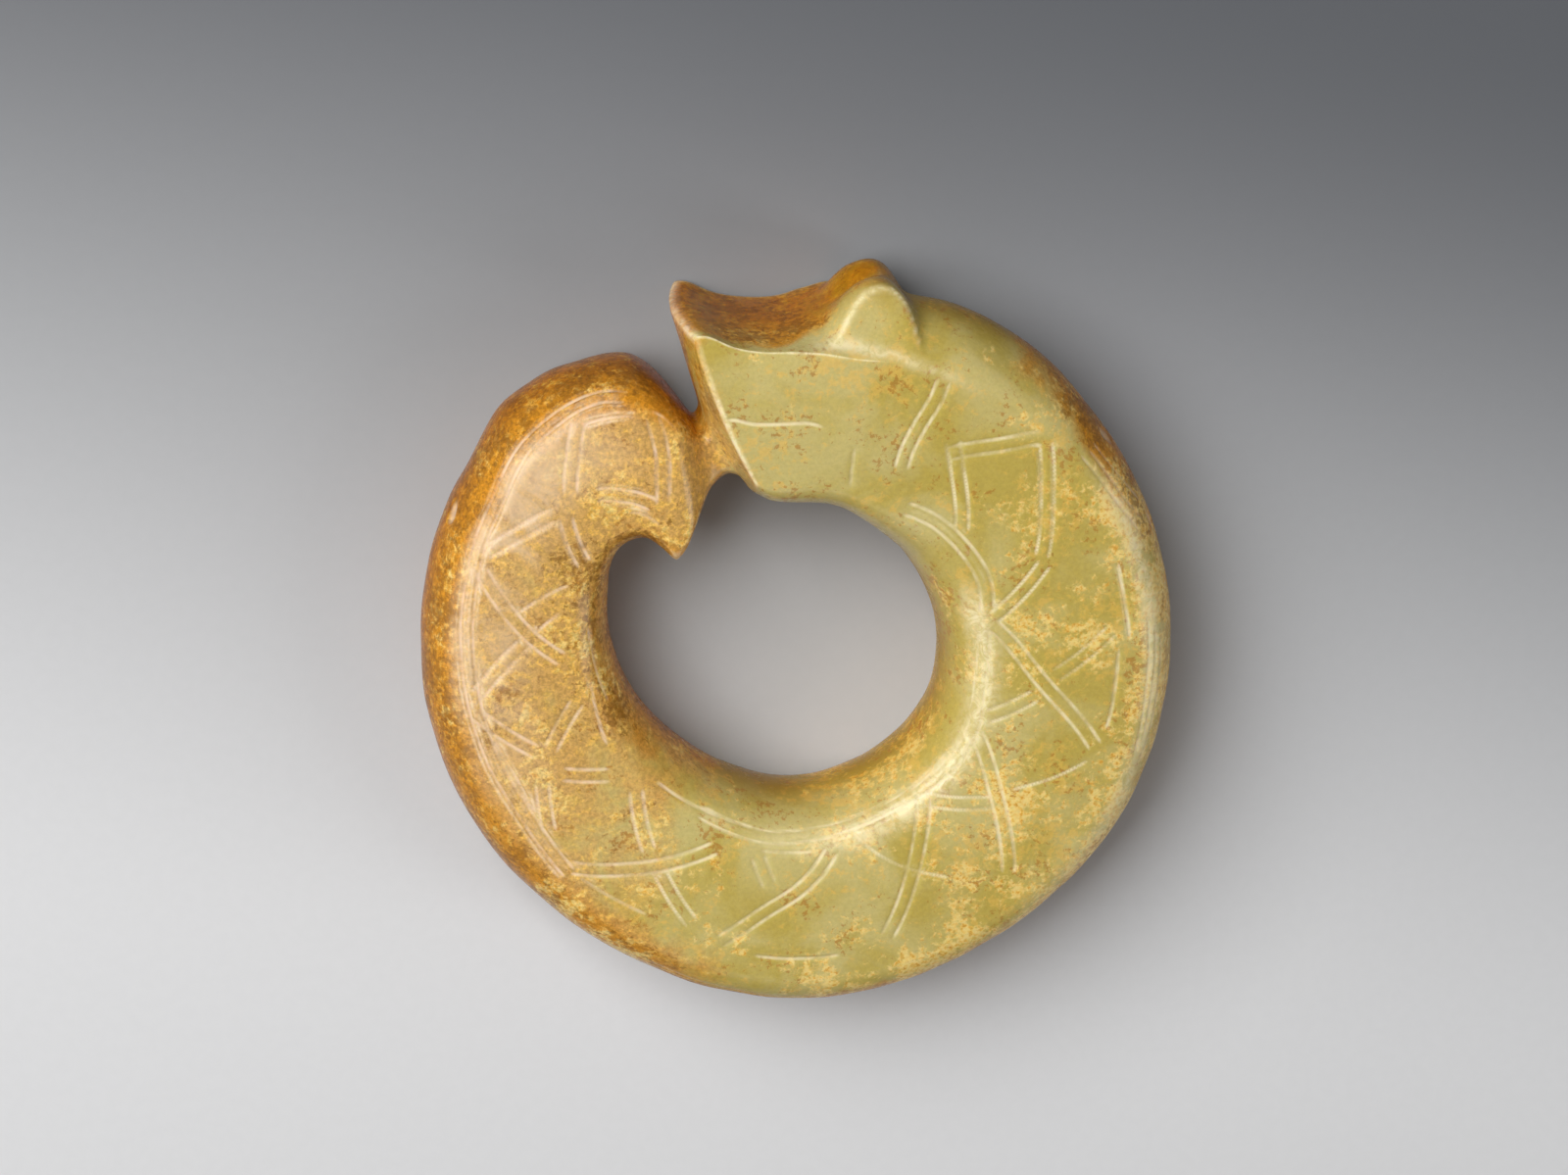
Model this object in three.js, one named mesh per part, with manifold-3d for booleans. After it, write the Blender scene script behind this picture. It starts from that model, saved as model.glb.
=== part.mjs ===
// A ring-shaped jade dragon pendant, carved from one piece of stone.
// It lies on its flat back: x runs to the dragon's neck side, y to the head, z up through the front.
// All sizes are millimetres, but the points and shoulders of the plan, the radii of the ring and
// HORN_TOP are shares of RING_WIDTH, in 64ths.

import * as THREE from 'three';
import { mergeVertices } from 'three/addons/utils/BufferGeometryUtils.js';
import Module from 'manifold-3d';

// Overall sizes
const RING_WIDTH = 64;
const BACK_DEPTH = 6.9;        // flat back to the middle plane
const HEAD_FRONT = 7.3;        // middle plane to the front, at the head
const NECK_FRONT = 6.9;
const TAIL_FRONT = 6.2;
const BRIDGE_HALF = 3.3;       // half the thickness of the bridge between tail and mouth
const FRONT_CROWN = 0.35;      // how far the front swells between its shoulders
const CROWN_WIDTH = 8;         // a face narrower than this swells less

// Shoulders: how far each face's edge stands back from the rim
const INNER_SHOULDER = 3.8;
const OUTER_SHOULDER = 4.2;

// Mouth
const MOUTH_BULGE_DEPTH = 1.0; // the mouth's face is rounded from front to back
const MOUTH_BOW_DEPTH = 0.5;   // and bows a little from jaw to snout

// Horns: a mirror pair of bell-shaped humps behind the snout, each with a flat side that leans back
const HORN_TOP = [6.5, 32];    // the highest point of a horn in the plan
const HORN_OFFSET = 3;         // middle plane to the highest point
const HORN_HEIGHT = 5.5;       // from the top to the foot, which stands inside the body
const HORN_FORE = 6.6;         // how far the foot reaches to the snout
const HORN_AFT = 6.5;          // and to the neck
const HORN_HALF_THICKNESS = 7.7;
const HORN_FACET_LEAN = 0.42;  // radians between the flat side and the front
const HORN_FACET_DROP = 4;     // this far below the top, the flat side
const HORN_FACET_INSET = 0.7;  // stands this far in from the back face

// Incised lines
const GROOVE_WIDTH = 0.9;
const GROOVE_DEPTH = 0.35;
const GROOVE_GAP = 1.1;        // between the two lines of a pair
const GROOVE_END = 0.2;        // share of its depth that a line keeps at its ends
const GROOVE_LIFT = 0.4;       // how far the cutter stands out of the surface

// Fineness of the facets
const FRONT_STEPS = 4;
const BACK_STEPS = 1;
const ARC_STEPS = 8;
const ROWS_PER_STATION = 2;
const MOUTH_ROWS = 3;
const GROOVE_STEP = 4;
const HORN_STEPS = 10;
const HORN_SIDES = 24;
const NORMAL_STEP_ALONG = 0.05;
const NORMAL_STEP_ACROSS = 0.01;
const WELD = 1e-5;             // points closer than this are one

// Radii of the ring at every 30 degrees, from 60 degrees clockwise to 150 degrees
const CLOCK_START = 60;
const CLOCK_STEP = 30;
const OUTER_RADII = [31.4, 31.5, 32.1, 32.9, 32.85, 32.95, 31.9, 31.8, 31.95, 32.05];
const INNER_RADII = [11.8, 11.5, 12.0, 13.05, 13.55, 13.8, 13.45, 14.0, 15.75, 17.75];
const RING_FROM = 37.5;
const RING_TO = -200;
const RING_STEP = 12.5;

// Stations and shares at which a form starts or ends
const HEAD_FULL = 5;           // the head keeps its whole height up to this station
const MOUTH_STATIONS = 3;      // the mouth's face swells over the stations before this one
const TAIL_FALL = 0.45;        // share of the ring after which the front falls to the tail
const SHOULDER_SHARE = 0.96;   // most of a section's width that both shoulders take

const plan = RING_WIDTH / 64;

// Stations of the head, from the mouth to the neck:
// inner point, outer point, inner shoulder and its roundness, outer shoulder at the front, its
// roundness, outer shoulder at the back. Roundness 2 is a round shoulder and 1 leaves a crisp edge.
const HEAD = [
  { in: [-3.5, 14.3], out: [-9.75, 29.7], shoulders: [2.1, 1.6, 0.8, 1, 0.1] },
  { in: [-3.0, 13.6], out: [-8.4, 29.6], shoulders: [2.6, 1.8, 0.7, 1, 0.1] },
  { in: [-2.2, 13.0], out: [-6.3, 28.6], shoulders: [2.9, 2, 0.7, 1, 0.1] },
  { in: [-0.9, 12.75], out: [-3.9, 28.1], shoulders: [3.1, 2, 0.7, 1, 0.1] },
  { in: [0.7, 12.6], out: [-1.1, 28.05], shoulders: [3.2, 2, 0.8, 1, 0.1] },
  { in: [2.4, 12.25], out: [1.4, 28.7], shoulders: [3.3, 2, 1.7, 1, 0.1] },
  { in: [4.0, 11.55], out: [4.0, 29.6], shoulders: [3.4, 2, 3.2, 1.2, 0.6] },
  { in: [5.2, 10.75], out: [7.0, 29.8], shoulders: [3.5, 2, 3.8, 1.4, 2.4] },
  { in: [6.1, 10.1], out: [10.0, 29.3], shoulders: [3.6, 2, 4.0, 1.7, 3.8] },
  { in: [6.9, 9.4], out: [13.4, 28.4], shoulders: [3.7, 2, 4.2, 2, 4.2] },
  { in: [7.7, 8.65], out: [17.2, 26.5], shoulders: [3.8, 2, 4.2, 2, 4.2] },
  { in: [8.5, 7.85], out: [20.9, 23.8], shoulders: [3.8, 2, 4.2, 2, 4.2] },
];

// Stations of the tail, from the ring round the hook to the bridge at the mouth
const TAIL = [
  { in: [-15.9, 7.4], out: [-27.7, 15.9], front: 1, back: 1, shoulders: [3.4, 2, 4.2, 2, 4.2] },
  { in: [-15.3, 8.8], out: [-24.9, 20.7], front: 1, back: 1, shoulders: [3.2, 2, 4.1, 2, 4.1] },
  { in: [-14.3, 9.7], out: [-21.0, 23.5], front: 1, back: 1, shoulders: [2.9, 2, 3.9, 2, 3.9] },
  { in: [-13.0, 10.0], out: [-17.6, 24.6], front: 1, back: 1, shoulders: [2.6, 2, 3.6, 2, 3.6] },
  { in: [-11.75, 9.2], out: [-15.2, 24.95], front: 1, back: 1, shoulders: [2.2, 2, 3.2, 2, 3.2] },
  { in: [-10.6, 8.05], out: [-13.6, 24.7], front: 0.98, back: 1, shoulders: [1.9, 2, 2.8, 2, 2.8] },
  { in: [-9.75, 9.1], out: [-12.1, 23.7], front: 0.95, back: 0.98, shoulders: [1.8, 2, 2.5, 2, 2.5] },
  { in: [-9.1, 10.7], out: [-10.8, 22.3], front: 0.88, back: 0.9, shoulders: [1.7, 2, 2.2, 2, 2.2] },
  { in: [-8.35, 12.3], out: [-9.7, 20.9], front: 0.55, back: 0.55, shoulders: [1.6, 2, 2, 2, 2] },
  { in: [-7.5, 13.8], out: [-9.1, 20.1], front: 0.15, back: 0.15, shoulders: [1.6, 2, 1.9, 2, 1.9] },
  { in: [-6.0, 15.0], out: [-8.6, 19.75], front: 0, back: 0, shoulders: [1.6, 2, 1.8, 2, 1.8] },
  { in: [-5.0, 14.8], out: [-8.15, 20.5], front: 0.05, back: 0.05, shoulders: [1.6, 2, 1.8, 2, 1.8] },
];
const HOOK_TIP = 5;            // the tail's station at the point of the hook

// The incised lines, each through [station, share across from the hole to the rim] on the front.
// Most are cut as pairs: two lines side by side.
const PAIRS = {
  tailBorder: [[36.2, 0.9], [34.9, 0.91], [33.7, 0.88], [32.5, 0.85], [31.4, 0.83], [30.3, 0.8],
    [29.2, 0.77], [28.1, 0.75], [27.1, 0.73], [26, 0.75]],
  tailBoxRight: [[37.4, 0.77], [37.4, 0.6], [36.9, 0.4]],
  tailBoxLeft: [[34.1, 0.8], [33.4, 0.55]],
  tailBoxFoot: [[34, 0.4], [35.9, 0.33]],
  tailSlant: [[32.7, 0.5], [31.35, 0.74]],
  tailFork: [[32.8, 0.46], [31.95, 0.21]],
  tailCross: [[29.85, 0.5], [29.2, 0.71]],
  tailBar: [[28.75, 0.25], [27.95, 0.48]],
  tailShortBar: [[28.6, 0.7], [28, 0.53]],
  tailStep: [[27.5, 0.48], [27, 0.28]],
  tailFoot: [[27.5, 0.58], [26.7, 0.69]],
  lowerLeftBar: [[26.45, 0.24], [25.3, 0.43]],
  lowerLeftSweep: [[26.1, 0.73], [25.2, 0.5], [24.2, 0.25]],
  lowerLeftSlant: [[25, 0.47], [24, 0.64]],
  innerBorder: [[25, 0.14], [23.5, 0.14], [21.9, 0.11], [20.3, 0.1], [18.9, 0.12], [17.5, 0.14],
    [15.9, 0.13], [14.3, 0.16]],
  bottomTick: [[23.3, 0.22], [22.9, 0.36]],
  bottomSweep: [[21.6, 0.18], [22.3, 0.35], [23, 0.5], [23.55, 0.68]],
  bottomBar: [[19.3, 0.17], [20, 0.35], [21, 0.66]],
  bottomFork: [[19, 0.19], [18.3, 0.36]],
  lowerRightBar: [[17.4, 0.21], [18.05, 0.37], [18.85, 0.65]],
  neckInner: [[9.6, 0.22], [11.4, 0.23], [12.9, 0.24]],
  rightFork: [[13.4, 0.46], [14, 0.25]],
  rightSweep: [[14.6, 0.25], [15.6, 0.39], [16.5, 0.66]],
  rightSlant: [[14.75, 0.69], [15.45, 0.46]],
  rightBar: [[15.9, 0.37], [16.7, 0.17]],
  neckTop: [[9.9, 0.52], [10.8, 0.635], [11.3, 0.76]],
  neckLeft: [[9.75, 0.53], [10.4, 0.43], [11.6, 0.28]],
  neckRight: [[11.65, 0.77], [12.2, 0.66], [13.1, 0.5]],
  gill: [[8.8, 0.78], [8.7, 0.67], [8.4, 0.54], [8.2, 0.44], [8.15, 0.35]],
};
const SINGLES = {
  tailBoxHead: [[34.3, 0.81], [36.3, 0.81]],
  tailLong: [[31.1, 0.26], [30.3, 0.56]],
  tailShort: [[30.5, 0.3], [30.1, 0.43]],
  tailBack: [[30.6, 0.68], [30.1, 0.48]],
  tailTick: [[29.8, 0.46], [29.5, 0.32]],
  tailInnerFoot: [[29.1, 0.16], [27.6, 0.22]],
  lowerLeftInner: [[26.3, 0.15], [24.9, 0.13], [23.4, 0.11]],
  bottomTop: [[23.3, 0.2], [22, 0.18]],
  bottomLong: [[21.1, 0.13], [20.5, 0.32], [19.7, 0.52]],
  bottomRim: [[23, 0.7], [21.7, 0.69]],
  lowerRightTick: [[17.7, 0.44], [16.9, 0.65]],
  rightRim: [[13.7, 0.78], [14.2, 0.77], [14.9, 0.77]],
  rightRimFoot: [[15, 0.72], [16.3, 0.7]],
  mouthLine: [[0.15, 0.5], [3.6, 0.56], [4.8, 0.52]],
  jawTick: [[5.9, 0.41], [5.7, 0.19]],
};

const smooth = (from, to, value) => THREE.MathUtils.smoothstep(value, from, to);
const lerp = THREE.MathUtils.lerp;

function catmullRom(list, place) {
  const last = list.length - 1;
  const k = Math.min(Math.max(Math.floor(place), 0), last - 1);
  const t = place - k;
  const b = list[k];
  const c = list[k + 1];
  const a = k > 0 ? list[k - 1] : b.map((v, i) => 2 * v - c[i]);
  const d = k + 2 <= last ? list[k + 2] : c.map((v, i) => 2 * v - b[i]);
  return b.map((v, i) => 0.5 * (2 * v + (c[i] - a[i]) * t
    + (2 * a[i] - 5 * v + 4 * c[i] - d[i]) * t * t
    + (3 * v - a[i] - 3 * c[i] + d[i]) * t * t * t));
}

function ringPoint(radii, degrees) {
  const place = (CLOCK_START - degrees) / CLOCK_STEP;
  const radius = catmullRom(radii.map((r) => [r]), place)[0];
  const angle = THREE.MathUtils.degToRad(degrees);
  return [radius * Math.cos(angle), radius * Math.sin(angle)];
}

// One list of stations from the mouth right round to the bridge
function allStations() {
  const stations = HEAD.map((s, k) => ({
    ...s,
    frontHeight: lerp(HEAD_FRONT, NECK_FRONT, smooth(HEAD_FULL, HEAD.length, k)),
    backHeight: BACK_DEPTH,
    mouth: Math.max(0, 1 - k / MOUTH_STATIONS),
  }));
  const count = Math.round((RING_FROM - RING_TO) / RING_STEP);
  const innerShoulder = INNER_SHOULDER / plan;
  const outerShoulder = OUTER_SHOULDER / plan;
  for (let k = 0; k <= count; k++) {
    const degrees = RING_FROM - k * RING_STEP;
    stations.push({
      in: ringPoint(INNER_RADII, degrees),
      out: ringPoint(OUTER_RADII, degrees),
      shoulders: [innerShoulder, 2, outerShoulder, 2, outerShoulder],
      frontHeight: lerp(NECK_FRONT, TAIL_FRONT, smooth(TAIL_FALL * count, count, k)),
      backHeight: BACK_DEPTH,
      mouth: 0,
    });
  }
  const ringEnd = stations.length;
  TAIL.forEach((s) => stations.push({
    ...s,
    frontHeight: lerp(BRIDGE_HALF, TAIL_FRONT, s.front),
    backHeight: lerp(BRIDGE_HALF, BACK_DEPTH, s.back),
    mouth: 0,
  }));
  return { stations, tip: ringEnd + HOOK_TIP };
}

const { stations, tip } = allStations();
const innerRail = stations.map((s) => s.in);
const outerRail = stations.map((s) => s.out);
const profiles = stations.map((s) => [s.frontHeight, s.backHeight, ...s.shoulders, s.mouth]);
const LAST = stations.length - 1;

// The section at a place along the rails. The inner rail is sharp at the hook's point.
function sectionAt(place) {
  const inner = place <= tip
    ? catmullRom(innerRail.slice(0, tip + 1), place)
    : catmullRom(innerRail.slice(tip), place - tip);
  const outer = catmullRom(outerRail, place);
  const [front, back, inE, inP, outE, outP, outBack, mouth] = catmullRom(profiles, place);
  const from = new THREE.Vector2(...inner).multiplyScalar(plan);
  const across = new THREE.Vector2(...outer).multiplyScalar(plan).sub(from);
  const width = across.length();
  across.normalize();
  const along = new THREE.Vector2(-across.y, across.x);
  const fit = Math.min(plan, (SHOULDER_SHARE * width) / (inE + outE));
  return {
    from, across, along, width, front, back, mouth,
    inner: { reach: inE * fit, backReach: inE * fit, power: inP },
    outer: { reach: outE * fit, backReach: outBack * fit, power: outP },
  };
}

// A point of a section, by its distance from the hole's side and its height above the middle plane
function place3D(section, distance, height) {
  const q = THREE.MathUtils.clamp(distance / section.width, 0, 1);
  const reach = height > 0 ? section.front : section.back;
  const level = THREE.MathUtils.clamp(height / reach, -1, 1);
  const swell = section.mouth * (MOUTH_BOW_DEPTH * 4 * q * (1 - q)
    + MOUTH_BULGE_DEPTH * (1 - level * level));
  return new THREE.Vector3(
    section.from.x + section.across.x * distance + section.along.x * swell,
    section.from.y + section.across.y * distance + section.along.y * swell,
    BACK_DEPTH + height,
  );
}

function rimStep(rim, angle) {
  const level = Math.sin(angle);
  const reach = level > 0 ? rim.reach : rim.backReach;
  return reach * Math.pow(Math.max(0, 1 - level * level), 1 / rim.power);
}

function frontHeight(section, distance) {
  const a = section.inner.reach;
  const b = section.width - section.outer.reach;
  if (distance < a) {
    const out = Math.min(1, (a - distance) / a);
    return section.front * Math.sqrt(Math.max(0, 1 - Math.pow(out, section.inner.power)));
  }
  if (distance > b) {
    const out = Math.min(1, (distance - b) / section.outer.reach);
    return section.front * Math.sqrt(Math.max(0, 1 - Math.pow(out, section.outer.power)));
  }
  const q = (2 * (distance - a)) / (b - a) - 1;
  return section.front + FRONT_CROWN * (1 - q * q) * Math.min(1, (b - a) / CROWN_WIDTH);
}

// The closed loop of points round one section: front, outer rim, back, inner rim
function sectionLoop(section) {
  const a = section.inner.reach;
  const b = section.width - section.outer.reach;
  const backEnd = section.width - section.outer.backReach;
  const loop = [];
  for (let j = 0; j < FRONT_STEPS; j++) {
    const distance = lerp(a, b, j / FRONT_STEPS);
    loop.push(place3D(section, distance, frontHeight(section, distance)));
  }
  for (let j = 0; j < ARC_STEPS; j++) {
    const angle = Math.PI * (0.5 - j / ARC_STEPS);
    const level = Math.sin(angle);
    const height = level * (level > 0 ? section.front : section.back);
    const start = level > 0 ? b : backEnd;
    loop.push(place3D(section, start + rimStep(section.outer, angle), height));
  }
  for (let j = 0; j < BACK_STEPS; j++) {
    loop.push(place3D(section, lerp(backEnd, a, j / BACK_STEPS), -section.back));
  }
  for (let j = 0; j < ARC_STEPS; j++) {
    const angle = Math.PI * (j / ARC_STEPS - 0.5);
    const level = Math.sin(angle);
    const height = level * (level > 0 ? section.front : section.back);
    loop.push(place3D(section, a - rimStep(section.inner, angle), height));
  }
  return loop;
}

// Where each row of facets stands along the rails, with the hook's point and both ends kept
function rowPlaces() {
  const places = [];
  for (let k = 0; k < LAST; k++) {
    for (let j = 0; j < ROWS_PER_STATION; j++) {
      places.push(k + j / ROWS_PER_STATION);
    }
  }
  places.push(LAST);
  return places;
}

// The whole ring closes on itself: the last rows run across the mouth's face
function ringGeometry() {
  const rows = rowPlaces().map((p) => sectionLoop(sectionAt(p)));
  const mouth = rows[0];
  const bridge = rows[rows.length - 1];
  for (let k = 1; k < MOUTH_ROWS; k++) {
    rows.push(bridge.map((p, j) => p.clone().lerp(mouth[j], k / MOUTH_ROWS)));
  }
  const perRow = mouth.length;
  const positions = rows.flat().flatMap((p) => [p.x, p.y, p.z]);
  const index = [];
  for (let r = 0; r < rows.length; r++) {
    const next = (r + 1) % rows.length;
    for (let j = 0; j < perRow; j++) {
      const k = (j + 1) % perRow;
      const a = r * perRow + j;
      const b = r * perRow + k;
      const c = next * perRow + k;
      const d = next * perRow + j;
      index.push(a, c, b, a, d, c);
    }
  }
  const geometry = new THREE.BufferGeometry();
  geometry.setAttribute('position', new THREE.Float32BufferAttribute(positions, 3));
  geometry.setIndex(index);
  return geometry;
}

const wasm = await Module();
wasm.setup();

function toSolid(geometry) {
  const bare = geometry.clone();
  bare.deleteAttribute('normal');
  bare.deleteAttribute('uv');
  const merged = mergeVertices(bare, WELD);
  return new wasm.Manifold(new wasm.Mesh({
    numProp: 3,
    vertProperties: Float32Array.from(merged.attributes.position.array),
    triVerts: Uint32Array.from(merged.index.array),
  }));
}

// One horn, on the front's side (1) or the back's (-1)
function hornSolid(side) {
  const profile = [new THREE.Vector2(0, -HORN_HEIGHT)];
  for (let k = HORN_STEPS; k >= 0; k--) {
    const share = k / HORN_STEPS;
    const drop = HORN_HEIGHT * 0.5 * (1 - Math.cos(Math.PI * share));
    profile.push(new THREE.Vector2(share, -drop));
  }
  const hump = new THREE.LatheGeometry(profile, HORN_SIDES);
  const places = hump.getAttribute('position');
  for (let k = 0; k < places.count; k++) {
    const x = places.getX(k);
    places.setX(k, x * (x < 0 ? HORN_FORE : HORN_AFT));
    places.setZ(k, places.getZ(k) * HORN_HALF_THICKNESS);
  }
  const [x, y] = HORN_TOP.map((v) => v * plan);
  hump.translate(x, y, BACK_DEPTH + side * HORN_OFFSET);
  const size = 4 * HORN_HALF_THICKNESS;
  const waste = new THREE.BoxGeometry(size, size, size);
  waste.translate(0, 0, (side * size) / 2);
  waste.rotateX(-side * HORN_FACET_LEAN);
  const facet = BACK_DEPTH - HORN_FACET_INSET;
  waste.translate(x, y - HORN_FACET_DROP, BACK_DEPTH + side * facet);
  return toSolid(hump).subtract(toSolid(waste));
}

// A point on the front's surface, and the direction out of the stone there
function frontPoint(station, share) {
  const section = sectionAt(station);
  const distance = share * section.width;
  return place3D(section, distance, frontHeight(section, distance));
}

function frontNormal(station, share) {
  const here = frontPoint(station, share);
  const onward = frontPoint(station + NORMAL_STEP_ALONG, share).sub(here);
  const outward = frontPoint(station, share + NORMAL_STEP_ACROSS).sub(here);
  return onward.cross(outward).normalize();
}

// One V-shaped cutter along a line on the front, set off sideways, running out at both ends
function grooveSolid(through, sideways) {
  const length = through.slice(1)
    .reduce((sum, p, k) => sum + frontPoint(...p).distanceTo(frontPoint(...through[k])), 0);
  const steps = Math.max(2, Math.round(length / GROOVE_STEP));
  const places = [];
  for (let k = 0; k <= steps; k++) {
    places.push(catmullRom(through, (k / steps) * (through.length - 1)));
  }
  const points = places.map((p) => frontPoint(...p));
  const positions = [];
  points.forEach((point, k) => {
    const normal = frontNormal(...places[k]);
    const tangent = points[Math.min(k + 1, steps)].clone().sub(points[Math.max(k - 1, 0)]);
    const side = tangent.normalize().cross(normal).normalize();
    const fade = Math.max(GROOVE_END, Math.sqrt(Math.abs(Math.sin((Math.PI * k) / steps))));
    const spread = (GROOVE_WIDTH / 2) * (fade + GROOVE_LIFT / GROOVE_DEPTH);
    const centre = point.clone().addScaledVector(side, sideways);
    const top = centre.clone().addScaledVector(normal, GROOVE_LIFT);
    const corners = [
      top.clone().addScaledVector(side, spread),
      top.clone().addScaledVector(side, -spread),
      centre.clone().addScaledVector(normal, -GROOVE_DEPTH * fade),
    ];
    corners.forEach((c) => positions.push(c.x, c.y, c.z));
  });
  const index = [0, 1, 2];
  for (let k = 0; k < steps; k++) {
    for (let j = 0; j < 3; j++) {
      const a = 3 * k + j;
      const b = 3 * k + ((j + 1) % 3);
      index.push(a, b + 3, b, a, a + 3, b + 3);
    }
  }
  const end = 3 * steps;
  index.push(end, end + 2, end + 1);
  const geometry = new THREE.BufferGeometry();
  geometry.setAttribute('position', new THREE.Float32BufferAttribute(positions, 3));
  geometry.setIndex(index);
  return toSolid(geometry);
}

const ring = toSolid(ringGeometry());
let body = ring.add(hornSolid(1)).add(hornSolid(-1));
for (const through of Object.values(PAIRS)) {
  body = body.subtract(grooveSolid(through, GROOVE_GAP / 2));
  body = body.subtract(grooveSolid(through, -GROOVE_GAP / 2));
}
for (const through of Object.values(SINGLES)) {
  body = body.subtract(grooveSolid(through, 0));
}

function toGeometry(solid) {
  const mesh = solid.getMesh();
  const geometry = new THREE.BufferGeometry();
  geometry.setAttribute('position', new THREE.Float32BufferAttribute(mesh.vertProperties, 3));
  geometry.setIndex(Array.from(mesh.triVerts));
  return geometry;
}

const geometry = toGeometry(body);
geometry.computeBoundingBox();
const box = geometry.boundingBox;
const middle = box.getCenter(new THREE.Vector3());
geometry.translate(-middle.x, -middle.y, -box.min.z);
geometry.computeVertexNormals();

const jade = new THREE.MeshStandardMaterial({ color: 0xa89a4e, roughness: 0.3, metalness: 0 });
const pendant = new THREE.Mesh(geometry, jade);
pendant.name = 'dragon_pendant';

const group = new THREE.Group();
group.add(pendant);

export default group;
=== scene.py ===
import math

import bpy
import numpy as np
from bpy.props import FloatProperty, FloatVectorProperty, IntProperty, PointerProperty
from mathutils import Matrix, Vector


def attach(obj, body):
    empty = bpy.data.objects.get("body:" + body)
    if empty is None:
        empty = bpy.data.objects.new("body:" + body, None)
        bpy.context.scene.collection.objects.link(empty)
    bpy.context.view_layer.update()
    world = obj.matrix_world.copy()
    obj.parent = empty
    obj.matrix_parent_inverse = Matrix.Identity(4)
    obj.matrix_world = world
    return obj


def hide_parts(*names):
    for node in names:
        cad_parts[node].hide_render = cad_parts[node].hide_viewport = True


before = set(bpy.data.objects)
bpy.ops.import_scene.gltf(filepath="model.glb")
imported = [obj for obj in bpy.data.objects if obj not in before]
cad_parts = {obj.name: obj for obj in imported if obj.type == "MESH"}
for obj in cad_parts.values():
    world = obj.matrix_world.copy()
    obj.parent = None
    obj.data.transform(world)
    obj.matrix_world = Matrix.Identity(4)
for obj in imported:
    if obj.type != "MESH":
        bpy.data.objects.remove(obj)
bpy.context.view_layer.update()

bl_info = {
    "name": "Jade Dragon Pendant",
    "version": (1, 0, 0),
    "blender": (4, 5, 0),
    "location": "3D View > Sidebar > Pendant",
    "description": "Carves a ring-shaped jade dragon pendant with incised lines, on a plain stage",
    "category": "Add Mesh",
}

CAD_NODE = "dragon_pendant"
STONE = "jade_dragon"
MM = 0.001

# The plan of the carving, in 64ths of the ring's width. The ring's radii stand every 30 degrees,
# from 60 degrees clockwise to 150 degrees.
PLAN_PARTS = 64
CLOCK_START = 60
CLOCK_STEP = 30
OUTER_RADII = (31.4, 31.5, 32.1, 32.9, 32.85, 32.95, 31.9, 31.8, 31.95, 32.05)
INNER_RADII = (11.8, 11.5, 12.0, 13.05, 13.55, 13.8, 13.45, 14.0, 15.75, 17.75)
RING_FROM = 37.5
RING_TO = -200
RING_STEP = 12.5

# Sections of the head, from the mouth to the neck: inner point, outer point, inner shoulder and its
# roundness, outer shoulder at the front, its roundness, outer shoulder at the back.
HEAD = (
    ((-3.5, 14.3), (-9.75, 29.7), (2.1, 1.6, 0.8, 1, 0.1)),
    ((-3.0, 13.6), (-8.4, 29.6), (2.6, 1.8, 0.7, 1, 0.1)),
    ((-2.2, 13.0), (-6.3, 28.6), (2.9, 2, 0.7, 1, 0.1)),
    ((-0.9, 12.75), (-3.9, 28.1), (3.1, 2, 0.7, 1, 0.1)),
    ((0.7, 12.6), (-1.1, 28.05), (3.2, 2, 0.8, 1, 0.1)),
    ((2.4, 12.25), (1.4, 28.7), (3.3, 2, 1.7, 1, 0.1)),
    ((4.0, 11.55), (4.0, 29.6), (3.4, 2, 3.2, 1.2, 0.6)),
    ((5.2, 10.75), (7.0, 29.8), (3.5, 2, 3.8, 1.4, 2.4)),
    ((6.1, 10.1), (10.0, 29.3), (3.6, 2, 4.0, 1.7, 3.8)),
    ((6.9, 9.4), (13.4, 28.4), (3.7, 2, 4.2, 2, 4.2)),
    ((7.7, 8.65), (17.2, 26.5), (3.8, 2, 4.2, 2, 4.2)),
    ((8.5, 7.85), (20.9, 23.8), (3.8, 2, 4.2, 2, 4.2)),
)
HEAD_FULL = 5
MOUTH_STATIONS = 3

# Sections of the tail, round the hook to the bridge: inner point, outer point, share of the full
# height at the front and at the back, inner shoulder, outer shoulder.
TAIL = (
    ((-15.9, 7.4), (-27.7, 15.9), 1, 1, 3.4, 4.2),
    ((-15.3, 8.8), (-24.9, 20.7), 1, 1, 3.2, 4.1),
    ((-14.3, 9.7), (-21.0, 23.5), 1, 1, 2.9, 3.9),
    ((-13.0, 10.0), (-17.6, 24.6), 1, 1, 2.6, 3.6),
    ((-11.75, 9.2), (-15.2, 24.95), 1, 1, 2.2, 3.2),
    ((-10.6, 8.05), (-13.6, 24.7), 0.98, 1, 1.9, 2.8),
    ((-9.75, 9.1), (-12.1, 23.7), 0.95, 0.98, 1.8, 2.5),
    ((-9.1, 10.7), (-10.8, 22.3), 0.88, 0.9, 1.7, 2.2),
    ((-8.35, 12.3), (-9.7, 20.9), 0.55, 0.55, 1.6, 2),
    ((-7.5, 13.8), (-9.1, 20.1), 0.15, 0.15, 1.6, 1.9),
    ((-6.0, 15.0), (-8.6, 19.75), 0, 0, 1.6, 1.8),
    ((-5.0, 14.8), (-8.15, 20.5), 0.05, 0.05, 1.6, 1.8),
)
HOOK_TIP = 5
TAIL_FALL = 0.45
SHOULDER_SHARE = 0.96
# Roundness of a shoulder that follows a circle
CIRCLE = 2

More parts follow.
